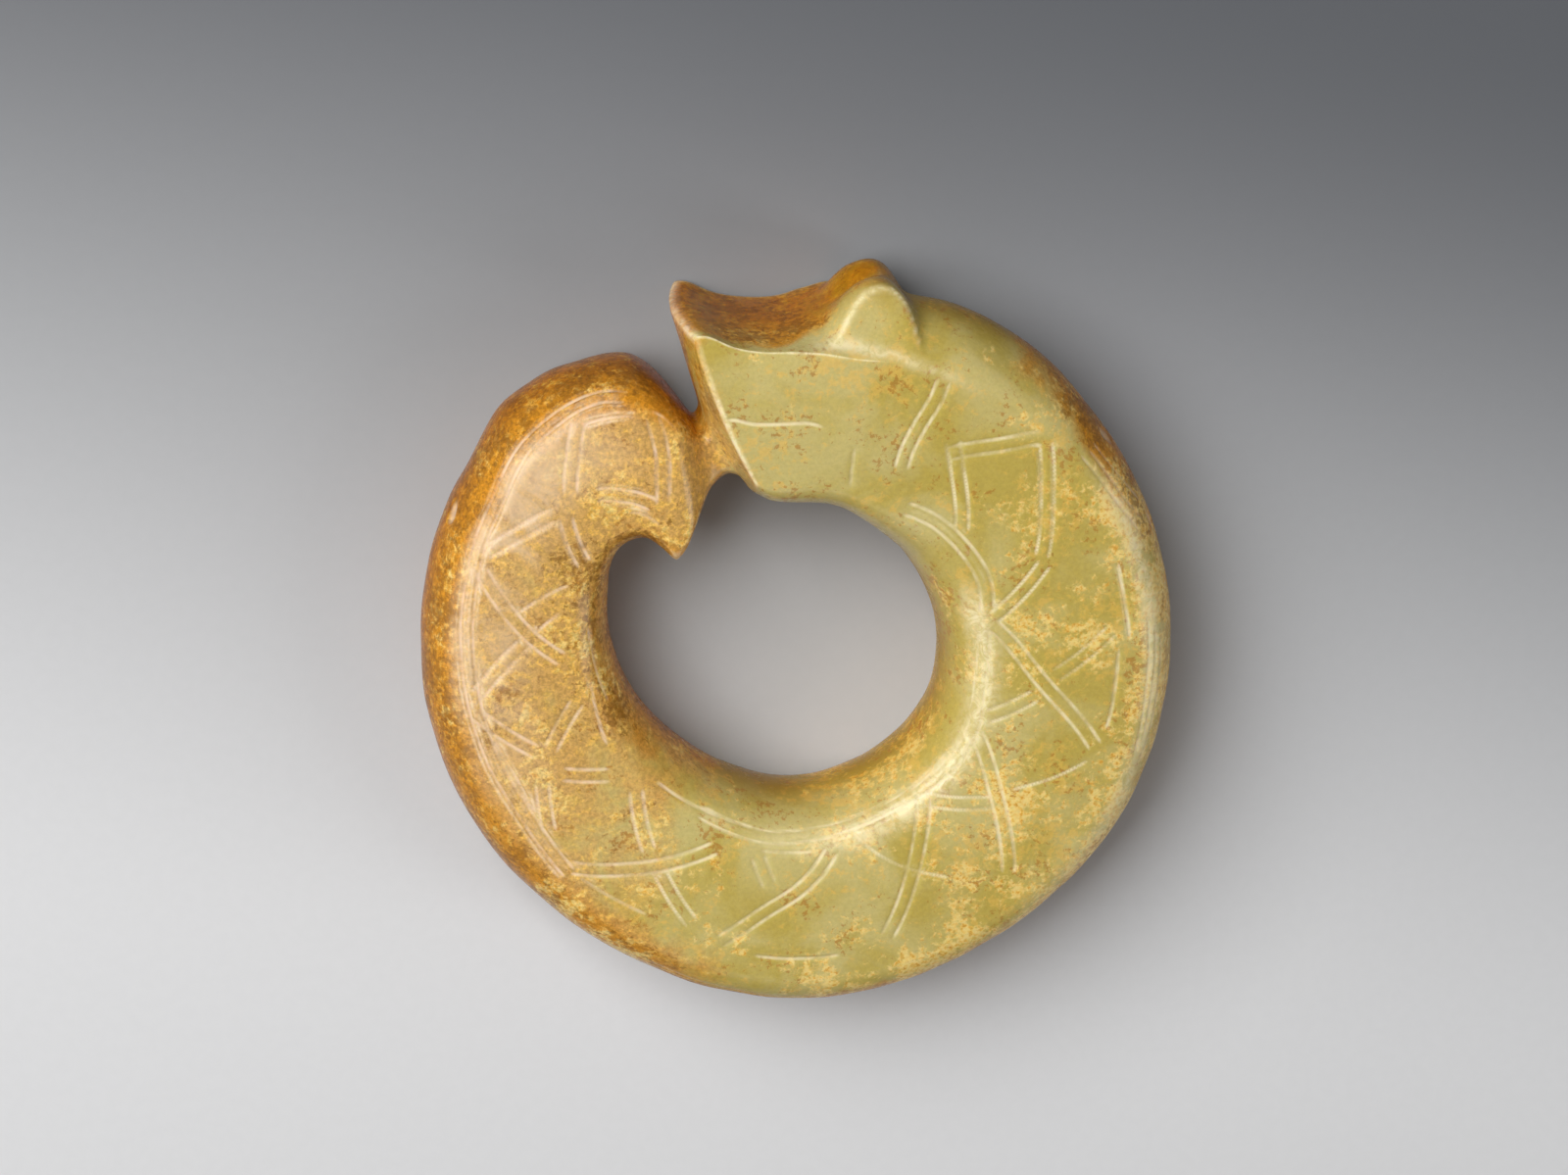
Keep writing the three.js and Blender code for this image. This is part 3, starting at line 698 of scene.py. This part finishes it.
class Nodes:
    """Makes and joins the nodes of one tree."""

    def __init__(self, tree):
        self.tree = tree

    def add(self, kind, feeds=None, **settings):
        """A node with its settings, and what goes into its sockets by name or number."""
        node = self.tree.nodes.new(kind)
        for name, value in settings.items():
            setattr(node, name, value)
        for socket, value in (feeds or {}).items():
            self.feed(node.inputs[socket], value)
        return node

    def feed(self, socket, value):
        if isinstance(value, bpy.types.NodeSocket):
            self.tree.links.new(value, socket)
        elif hasattr(value, "__len__") and len(socket.default_value) == 4:
            socket.default_value = (*value, 1)
        else:
            socket.default_value = value

    def maths(self, operation, a, b, clamp=False):
        node = self.add("ShaderNodeMath", {0: a, 1: b}, operation=operation, use_clamp=clamp)
        return node.outputs[0]

    def plus(self, a, b, clamp=False):
        return self.maths("ADD", a, b, clamp)

    def minus(self, a, b):
        return self.maths("SUBTRACT", a, b)

    def times(self, a, b):
        return self.maths("MULTIPLY", a, b)

    def ramp(self, value, low, high, to_low=0.0, to_high=1.0):
        """A smooth step from one value to another."""
        feeds = {"Value": value, "From Min": low, "From Max": high, "To Min": to_low, "To Max": to_high}
        return self.add("ShaderNodeMapRange", feeds, interpolation_type="SMOOTHSTEP").outputs["Result"]

    def blend(self, factor, a, b, mode="MIX"):
        feeds = {0: factor, 6: a, 7: b}
        return self.add("ShaderNodeMix", feeds, data_type="RGBA", blend_type=mode).outputs[2]

    def noise(self, vector, scale, detail, roughness, distortion=0.0):
        feeds = {"Vector": vector, "Scale": scale, "Detail": detail, "Roughness": roughness,
                 "Distortion": distortion}
        return self.add("ShaderNodeTexNoise", feeds).outputs["Fac"]

    def attribute(self, name):
        return self.add("ShaderNodeAttribute", attribute_name=name).outputs["Fac"]


def cutting_tree():
    """Geometry nodes that sink the stone along the edges of another object."""
    tree = bpy.data.node_groups.new("Incise Along Lines", "GeometryNodeTree")
    for name, kind in (("Geometry", "Geometry"), ("Lines", "Object"), ("Half Width", "Float"),
                       ("Depth", "Float"), ("Mark", "String"), ("Material", "Material")):
        tree.interface.new_socket(name, in_out="INPUT", socket_type="NodeSocket" + kind)
    tree.interface.new_socket("Geometry", in_out="OUTPUT", socket_type="NodeSocketGeometry")
    nodes = Nodes(tree)
    given = nodes.add("NodeGroupInput").outputs
    lines = nodes.add("GeometryNodeObjectInfo", {"Object": given["Lines"]})
    near = nodes.add("GeometryNodeProximity", {0: lines.outputs["Geometry"]}, target_element="EDGES")
    distance = near.outputs["Distance"]
    sink = nodes.times(nodes.ramp(distance, 0.0, given["Half Width"], 1.0, 0.0), given["Depth"])
    normal = nodes.add("GeometryNodeInputNormal").outputs["Normal"]
    offset = nodes.add("ShaderNodeVectorMath", {0: normal, "Scale": nodes.times(sink, -1.0)},
                       operation="SCALE")
    marked = nodes.add("GeometryNodeStoreNamedAttribute", {
        "Geometry": given["Geometry"], "Name": given["Mark"],
        "Value": nodes.maths("DIVIDE", distance, MM)}, data_type="FLOAT")
    sunk = nodes.add("GeometryNodeSetPosition", {
        "Geometry": marked.outputs["Geometry"], "Offset": offset.outputs["Vector"]})
    real = nodes.add("GeometryNodeRealizeInstances", {"Geometry": sunk.outputs["Geometry"]})
    surface = nodes.add("GeometryNodeSetMaterial", {
        "Geometry": real.outputs["Geometry"], "Material": given["Material"]})
    nodes.add("NodeGroupOutput", {"Geometry": surface.outputs["Geometry"]})
    return tree


def add_tree(piece, tree, values):
    """Puts a geometry tree on a piece and sets its named inputs."""
    modifier = piece.modifiers.new(tree.name, "NODES")
    modifier.node_group = tree
    for socket in tree.interface.items_tree:
        if socket.item_type == "SOCKET" and socket.in_out == "INPUT" and socket.name in values:
            modifier[socket.identifier] = values[socket.name]


def bake(piece):
    """Turns a piece and its modifiers into one plain mesh."""
    bpy.context.view_layer.update()
    graph = bpy.context.evaluated_depsgraph_get()
    mesh = bpy.data.meshes.new_from_object(piece.evaluated_get(graph))
    piece.modifiers.clear()
    old = piece.data
    piece.data = mesh
    bpy.data.meshes.remove(old)
    mesh.name = piece.name


def speckle_group():
    """A shader group that scatters soft-edged specks through the stone."""
    tree = bpy.data.node_groups.new("Stone Specks", "ShaderNodeTree")
    tree.interface.new_socket("Vector", in_out="INPUT", socket_type="NodeSocketVector")
    for name in ("Scale", "Cover", "Softness", "Clumping"):
        tree.interface.new_socket(name, in_out="INPUT", socket_type="NodeSocketFloat")
    tree.interface.new_socket("Mask", in_out="OUTPUT", socket_type="NodeSocketFloat")
    nodes = Nodes(tree)
    given = nodes.add("NodeGroupInput").outputs
    grain = nodes.noise(given["Vector"], given["Scale"], 5.0, 0.66, 0.3)
    clump = nodes.noise(given["Vector"], nodes.times(given["Scale"], 0.16), 2.0, 0.5)
    lifted = nodes.times(nodes.minus(clump, 0.5), given["Clumping"])
    edge = nodes.minus(0.76, nodes.times(given["Cover"], 0.5))
    mask = nodes.ramp(nodes.plus(grain, lifted), edge, nodes.plus(edge, given["Softness"]))
    nodes.add("NodeGroupOutput", {"Mask": mask})
    return tree


def new_material(name):
    """An empty material and the maker of its nodes."""
    material = bpy.data.materials.new(name)
    material.use_nodes = True
    material.node_tree.nodes.clear()
    return material, Nodes(material.node_tree)


def jade_material(colours):
    """Polished yellow-green jade with orange and brown alteration."""
    material, nodes = new_material("altered_jade")
    times, plus, minus, ramp, blend = nodes.times, nodes.plus, nodes.minus, nodes.ramp, nodes.blend
    place = nodes.add("ShaderNodeTexCoord").outputs["Object"]
    group = speckle_group()
    amber, rim_stain, fleck, bloom, wall, rimward, polish = map(nodes.attribute, PAINTED)

    def noise(scale, *values):
        return nodes.noise(place, scale, *values)

    def specks(scale, cover, softness, clumping):
        feeds = {"Vector": place, "Scale": scale, "Cover": cover, "Softness": softness,
                 "Clumping": clumping}
        return nodes.add("ShaderNodeGroup", feeds, node_tree=group).outputs["Mask"]

    # Green body with pale clouds and faint gold grains
    clouds = noise(110, 4.0, 0.55, 0.6)
    colour = blend(ramp(clouds, 0.38, 0.62), colours.green, colours.pale)
    # Painted shade: the steep sides take a deeper colour
    colour = blend(times(wall, ramp(clouds, 0.2, 0.7, 0.8, 0.4)), colour, colours.shade_olive)
    colour = blend(times(specks(1050, 0.46, 0.14, 0.6), 0.4), colour, colours.gold)

    # Altered skin of the tail, the snout and the rims
    drift = noise(190, 5.0, 0.65, 0.8)
    altered = ramp(plus(amber, times(minus(drift, 0.5), 0.9)), 0.3, 0.72)
    blotch = times(specks(1250, 0.56, 0.14, 0.4), ramp(rimward, 0.0, 1.0, 0.85, 0.55))
    # Towards the rim the skin turns amber; on the steep sides this amber is painted shade
    skin = blend(blotch, blend(rimward, colours.tan, colours.amber), colours.gold)
    colour = blend(altered, colour, skin)
    mottle = noise(700, 5.0, 0.7, 0.5)
    stain = ramp(plus(rim_stain, times(minus(mottle, 0.5), 1.4)), 0.3, 0.95)
    colour = blend(times(stain, 0.85), colour, colours.umber)

    # Yellow and orange flecks, russet spots and brown pepper
    warm = noise(2600, 3.0, 0.6)
    fleck_colour = blend(ramp(warm, 0.42, 0.62), colours.yellow, colours.gold)
    fleck_colour = blend(ramp(warm, 0.55, 0.68, 0.0, 0.8), fleck_colour, colours.amber)
    flecks = specks(1250, times(fleck, 0.86), 0.17, 0.9)
    colour = blend(times(flecks, 0.8), colour, fleck_colour)
    colour = blend(times(specks(1900, 0.3, 0.08, 0.6), 0.6), colour, colours.russet)
    peppered = times(altered, ramp(rimward, 0.0, 1.0, 0.36, 0.56))
    colour = blend(times(specks(1700, peppered, 0.1, 0.6), 0.62), colour, colours.umber)
    fine_grain = noise(2900, 4.0, 0.7, 0.3)
    soft_tone = ramp(fine_grain, 0.34, 0.66, 0.93, 1.04)
    tone = blend(altered, soft_tone, ramp(fine_grain, 0.34, 0.66, 0.72, 1.14))
    colour = blend(1.0, colour, tone, "MULTIPLY")

    # Whitened tail, partly calcified stone and partly painted sheen; painted shade on the steep sides
    colour = blend(times(bloom, ramp(drift, 0.38, 0.6, 0.12, 0.8)), colour, colours.bloom)
    colour = blend(1.0, colour, blend(wall, (1.0, 1.0, 1.0), colours.wall_tone), "MULTIPLY")

    # Pale powder in the lines and in the chips, and pale paint on the crisp edges and bands
    powder = blend(altered, colours.cream, colours.blush)
    groove = ramp(nodes.attribute("cut"), 0.04, 0.25, 1.0, 0.0)
    fine = times(ramp(nodes.attribute("scratch"), 0.04, 0.24, 1.0, 0.0), 0.6)
    uneven = ramp(noise(300, 4.0, 0.65), 0.36, 0.62, 0.2, 0.82)
    ground = times(nodes.maths("MAXIMUM", groove, fine), uneven)
    colour = blend(ground, colour, powder)
    # Crisp edges: partly rubbed pale, partly painted highlight; the bands and the horn ridge: painted
    # highlight
    rubbed_and_highlight = nodes.maths("MAXIMUM", times(nodes.attribute("wear"), minus(1.0, rim_stain)), polish)
    rubbed_and_highlight = times(rubbed_and_highlight, ramp(noise(800, 4.0, 0.7, 1.2), 0.34, 0.64, 0.3, 0.85))
    colour = blend(rubbed_and_highlight, colour, powder)
    colour = blend(ramp(nodes.attribute("nick"), 0.2, 0.8, 0.5, 0.0), colour, colours.blush)

    gloss = plus(ramp(mottle, 0.25, 0.75, 0.15, 0.32), times(ground, 0.25))
    gloss = plus(gloss, times(bloom, 0.12), clamp=True)
    height = minus(times(noise(1500, 4.0, 0.6), 0.5), specks(2200, 0.2, 0.1, 0.5))
    height = minus(height, times(groove, 1.6))
    bump = nodes.add("ShaderNodeBump", {"Strength": 0.35, "Distance": 0.00004, "Height": height})
    shader = nodes.add("ShaderNodeBsdfPrincipled", {
        "IOR": 1.52, "Specular IOR Level": 0.07, "Specular Tint": (1.0, 0.93, 0.76),
        "Coat Roughness": 0.22, "Subsurface Weight": 0.4, "Subsurface Radius": (1.0, 0.7, 0.25),
        "Subsurface Scale": 0.0018, "Base Color": colour, "Roughness": gloss,
        "Coat Weight": ramp(rimward, 0.0, 1.0, 0.4, 0.0), "Normal": bump.outputs["Normal"]})
    nodes.add("ShaderNodeOutputMaterial", {"Surface": shader.outputs["BSDF"]})
    return material


def paint_marks(mesh, station, share, level, ridge, raised):
    """Where the stone is altered, stained, flecked or whitened, and where highlight, sheen and shade
    are painted, as soft masks for the material.
    """
    def along(*steps):
        """A value that changes along the ring, from pairs of station and value."""
        return np.interp(station, [s for s, _ in steps], [v for _, v in steps])

    face = smoothstep(-0.1, 0.75, level)
    outer = smoothstep(0.5, 0.95, share)
    tail = along((22.5, 0), (24, 0.22), (25, 0.55), (26.2, 0.78), (28, 0.9), (30, 0.97), (33, 1),
                 (41, 1), (42, 0.8), (43, 0.6))
    tail_rim = along((21, 0), (23, 0.3), (24, 0.7), (25.5, 0.95), (27, 1), (41, 1), (43, 0.5))
    right_rim = along((9.4, 0), (10.4, 0.5), (12.8, 0.8), (14, 0.5), (17, 0.55), (20, 0.68), (23, 0.68))
    cheek = along((0, 0.42), (1.5, 0.25), (4, 0.05), (5, 0))
    snout = along((0, 1), (4, 0.95), (5.5, 0.6), (7, 0.25), (9, 0.1), (10, 0))
    snout_top = snout * smoothstep(0.94, 0.99, share)
    mouth = along((0, 0.55), (0.3, 0.4), (1, 0)) * (station < 1)
    horn_top = 0.5 * raised * (1 - smoothstep(0.3, 0.6, level)) * (level > -0.6)
    amber = np.maximum.reduce([
        tail * (0.75 + 0.25 * np.maximum(outer, 1 - face)),
        tail_rim * outer,
        right_rim * smoothstep(0.8, 0.96, share),
        cheek, snout_top * 0.9, mouth, horn_top])

    tail_top = along((30, 0), (32, 0.35), (34.5, 0.75), (37, 1), (38.5, 0.8), (40, 0.2), (42, 0))
    snout_stain = along((0, 0.6), (2, 1), (4, 1), (6, 0.4), (8, 0))
    neck_stain = along((10, 0), (11, 0.5), (13.2, 0.45), (14.5, 0))
    stain = np.maximum.reduce([
        tail_top * smoothstep(0.76, 1.0, share) * 0.72,
        0.25 * snout_top * snout_stain,
        0.6 * tail_rim * smoothstep(0.82, 1.0, share),
        neck_stain * smoothstep(0.86, 1.0, share)])

    fleck = along((0, 0.25), (5, 0.12), (9, 0.22), (11, 0.4), (13, 0.78), (17, 0.85), (20, 0.85),
                  (22, 0.68), (24, 0.42), (26, 0.5), (29, 0.45), (33, 0.34), (36, 0.5), (43, 0.3))
    fleck = fleck * np.where(station < 24, 0.66 + 0.4 * outer, 1.0)
    # Whitened tail: partly calcified stone, partly painted sheen
    bloom = along((25.5, 0), (27.5, 0.2), (29.5, 0.6), (31, 0.85), (33, 0.85), (34.3, 0.5),
                  (35.5, 0.2), (37, 0))
    bloom = bloom * smoothstep(0.36, 0.62, share) * (1 - smoothstep(0.8, 0.92, share)) * face

    # Painted highlight bands: strength along the ring, middle and reach across it
    bevel = along((4.5, 0.95), (5.5, 0.9), (6.5, 0.845), (8.5, 0.8), (10, 0.78))
    bands = (
        (along((12.8, 0), (13.8, 1), (19.5, 1), (21.5, 0.7), (24, 0)), 0.15, 0.06),
        (along((12, 0), (13.2, 0.85), (17, 0.75), (20, 0)), 0.88, 0.045),
        (along((27, 0), (30, 0.35), (33, 0.5), (35.5, 0.3), (36.5, 0)), 0.83, 0.04),
        (along((4.3, 0), (5.2, 0.9), (7.6, 0.8), (8.8, 0.4), (10, 0)), bevel, 0.026),
    )
    polish = np.maximum.reduce([strength * np.exp(-((share - middle) / reach) ** 2)
                                for strength, middle, reach in bands])
    # The horn's ridge gets painted highlight as well
    polish = np.maximum(polish * smoothstep(0.5, 0.95, level), ridge * smoothstep(-0.5, 0, level))
    # Painted shade on the steep sides
    wall = (1 - face) * smoothstep(-1, -0.8, level)
    # Along the hole's edge on the tail the skin turns a darker amber
    inner = 0.75 * smoothstep(24, 28, station) * (1 - smoothstep(0.06, 0.24, share))
    rimward = np.maximum.reduce([wall, inner, smoothstep(0.74, 0.9, share)])
    for name, values in zip(PAINTED, (amber, stain, fleck, bloom, wall, rimward, polish)):
        store(mesh, name, values)


def mark_pale_edges(mesh, rows, columns):
    """Marks the crisp edges, painted pale: partly rubbed stone, partly painted highlight."""
    points = np.empty(rows * columns * 3)
    mesh.vertices.foreach_get("co", points)
    grid = points.reshape(rows, columns, 3) / MM
    normal = grid_normals(grid, EDGE_REACH)
    bend = np.zeros((rows, columns))
    for axis in (0, 1):
        before = np.roll(grid, EDGE_REACH, axis)
        after = np.roll(grid, -EDGE_REACH, axis)
        half = 0.5 * np.linalg.norm(after - before, axis=2)
        rise = np.sum((grid - 0.5 * (after + before)) * normal, axis=2)
        bend = np.maximum(bend, 2 * rise / np.maximum(half, EDGE_LEAST_HALF) ** 2)
    store(mesh, "wear", smoothstep(EDGE_BEND_FROM, EDGE_BEND_FULL, relax(bend, EDGE_PASSES)))


class PENDANT_OT_carve(bpy.types.Operator):
    """Carve the ring, the head, the horns and the hooked tail from one stone"""

    bl_idname = "pendant.carve"
    bl_label = "Carve Stone"

    def execute(self, context):
        shape = context.scene.pendant_shape
        ring = Ring(shape)
        grid, places = carve_grid(ring, shape)
        rows, columns = grid.shape[:2]
        points = grid.reshape(-1, 3)
        low = points.min(axis=0)
        high = points.max(axis=0)
        shift = np.array([-(low[0] + high[0]) / 2, -(low[1] + high[1]) / 2, -low[2]])
        mesh = new_mesh(STONE, points + shift, faces=grid_faces(rows, columns))
        mesh.shade_smooth()
        paint_marks(mesh, **places)
        piece = link_object(STONE, mesh)
        piece["rows"] = rows
        piece["columns"] = columns
        piece["shift"] = [float(v) for v in shift]
        return {"FINISHED"}


class PENDANT_OT_incise(bpy.types.Operator):
    """Cut the incised lines, the wheel marks and the chips into the stone"""

    bl_idname = "pendant.incise"
    bl_label = "Incise Lines"

    def execute(self, context):
        sizes = context.scene.pendant_lines
        ring = Ring(context.scene.pendant_shape)
        piece = bpy.data.objects[STONE]
        shift = np.array(piece["shift"])
        half_gap = in_mm(sizes, "gap") / 2
        taper = in_mm(sizes, "taper")
        lift = in_mm(sizes, "half_width")
        runs = []
        for lines, offsets, back in ((PAIRS, (half_gap, -half_gap), False), (SINGLES, (0,), False),
                                     (BACK_LINES, (half_gap, -half_gap), True)):
            runs += [line_points(ring, through, sideways, taper, lift, back)
                     for through in lines.values() for sideways in offsets]
        fine_lift = in_mm(sizes, "fine_half_width")
        fine_runs = [line_points(ring, through, 0, taper, fine_lift) for through in FINE.values()]
        nick_runs = [line_points(ring, through, 0, taper, 0) for through in NICKS.values()]
        jade = jade_material(context.scene.pendant_colours)
        tree = cutting_tree()
        helpers = []
        for name, paths, half, depth, mark in (
                ("line_paths", runs, sizes.half_width, sizes.depth, "cut"),
                ("fine_paths", fine_runs, sizes.fine_half_width, sizes.fine_depth, "scratch"),
                ("nick_paths", nick_runs, sizes.nick_radius, sizes.nick_depth, "nick")):
            helper = line_object(name, paths, shift)
            helpers.append(helper)
            add_tree(piece, tree, {"Lines": helper, "Half Width": half, "Depth": depth,
                                   "Mark": mark, "Material": jade})
        bake(piece)
        for helper in helpers:
            mesh = helper.data
            bpy.data.objects.remove(helper)
            bpy.data.meshes.remove(mesh)
        piece.data.shade_smooth()
        mark_pale_edges(piece.data, piece["rows"], piece["columns"])
        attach(piece, "root")
        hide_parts(CAD_NODE)
        return {"FINISHED"}


def area_light(name, place, target, size, power):
    """A soft box that looks at a point."""
    light = bpy.data.lights.new(name, "AREA")
    light.shape = "RECTANGLE"
    light.size, light.size_y = size
    light.energy = power
    lamp = link_object(name, light)
    lamp.location = place
    lamp.rotation_euler = (Vector(target) - Vector(place)).to_track_quat("-Z", "Y").to_euler()


def floor_material(near, far):
    """Matt paper, pale on the near side and greyer behind the pendant."""
    material, nodes = new_material("pale_paper")
    place = nodes.add("ShaderNodeTexCoord").outputs["Object"]
    tooth = nodes.noise(place, 900, 3.0, 0.6)
    axes = nodes.add("ShaderNodeSeparateXYZ", {0: place}).outputs
    depth = nodes.plus(axes["Y"], nodes.times(axes["X"], 0.2))
    tone = nodes.blend(nodes.ramp(depth, -0.042, 0.066), near, far)
    tone = nodes.blend(1.0, tone, nodes.ramp(tooth, 0.3, 0.7, 0.985, 1.0), "MULTIPLY")
    shader = nodes.add("ShaderNodeBsdfPrincipled", {
        "Specular IOR Level": 0.2, "Base Color": tone,
        "Roughness": nodes.ramp(tooth, 0.2, 0.8, 0.75, 0.85)})
    nodes.add("ShaderNodeOutputMaterial", {"Surface": shader.outputs["BSDF"]})
    return material


class PENDANT_OT_stage(bpy.types.Operator):
    """Lay out the pale floor, the soft lights and the camera"""

    bl_idname = "pendant.stage"
    bl_label = "Set Stage"

    def execute(self, context):
        scene = context.scene
        stage = scene.pendant_stage
        half = stage.floor_size / 2
        corners = [(-half, -half), (half, -half), (half, half), (-half, half)]
        mesh = bpy.data.meshes.new("pale_floor")
        mesh.from_pydata([(x, y, -FLOOR_DROP) for x, y in corners], [], [(0, 1, 2, 3)])
        mesh.materials.append(floor_material(stage.floor_colour, stage.floor_far))
        link_object("pale_floor", mesh)

        middle = (0, 0, MIDDLE_HEIGHT)
        area_light("key_light", (-0.34, 0.27, 0.46), middle, (0.52, 0.46), stage.key_power)
        area_light("near_light", (0.05, -0.55, 0.38), middle, (0.5, 0.25), stage.fill_power)
        area_light("side_light", (0.50, -0.16, 0.27), middle, (0.14, 0.5), stage.side_power)
        world = bpy.data.worlds.new("soft_room")
        world.use_nodes = True
        sky = world.node_tree.nodes["Background"]
        sky.inputs["Color"].default_value = (0.95, 0.97, 1.0, 1)
        sky.inputs["Strength"].default_value = stage.sky
        scene.world = world

        lens = bpy.data.cameras.new("photo_camera")
        lens.lens = stage.lens
        lens.sensor_width = 36
        lens.clip_start = 0.01
        camera = link_object("photo_camera", lens)
        yaw = math.radians(VIEW_YAW)
        pitch = math.radians(VIEW_PITCH)
        toward = Vector((-math.sin(yaw), math.sin(pitch), 0))
        toward.z = math.sqrt(1 - toward.length_squared)
        right = Vector((0, 1, 0)).cross(toward).normalized()
        up = toward.cross(right)
        drawn_origin = Vector((*bpy.data.objects[STONE]["shift"][:2], 0)) * MM
        drawn_origin.z = scene.pendant_shape.back_depth
        left, rise = (pixels / VIEW_SCALE for pixels in VIEW_SHIFT)
        aim = drawn_origin - right * left + up * rise
        turn = Matrix((right, up, toward)).transposed()
        camera.matrix_world = Matrix.Translation(aim + toward * stage.distance) @ turn.to_4x4()
        scene.camera = camera
        scene.view_settings.view_transform = "Standard"
        return {"FINISHED"}


class PENDANT_PT_panel(bpy.types.Panel):
    """Sidebar panel of the pendant"""

    bl_idname = "PENDANT_PT_panel"
    bl_label = "Jade Dragon Pendant"
    bl_space_type = "VIEW_3D"
    bl_region_type = "UI"
    bl_category = "Pendant"

    def draw(self, context):
        layout = self.layout
        for operator in (PENDANT_OT_carve, PENDANT_OT_incise, PENDANT_OT_stage):
            layout.operator(operator.bl_idname)
        for title in GROUPS:
            group = getattr(context.scene, title)
            box = layout.box()
            box.label(text=title.removeprefix("pendant_").capitalize())
            for name in group.__annotations__:
                box.prop(group, name)


CLASSES = (*GROUPS.values(), PENDANT_OT_carve, PENDANT_OT_incise, PENDANT_OT_stage,
           PENDANT_PT_panel)


def register():
    for item in CLASSES:
        bpy.utils.register_class(item)
    for name, group in GROUPS.items():
        setattr(bpy.types.Scene, name, PointerProperty(type=group))


def unregister():
    for name in GROUPS:
        delattr(bpy.types.Scene, name)
    for item in reversed(CLASSES):
        bpy.utils.unregister_class(item)


def main():
    register()
    bpy.ops.pendant.carve()
    bpy.ops.pendant.incise()
    bpy.ops.pendant.stage()


if __name__ == "__main__":
    main()
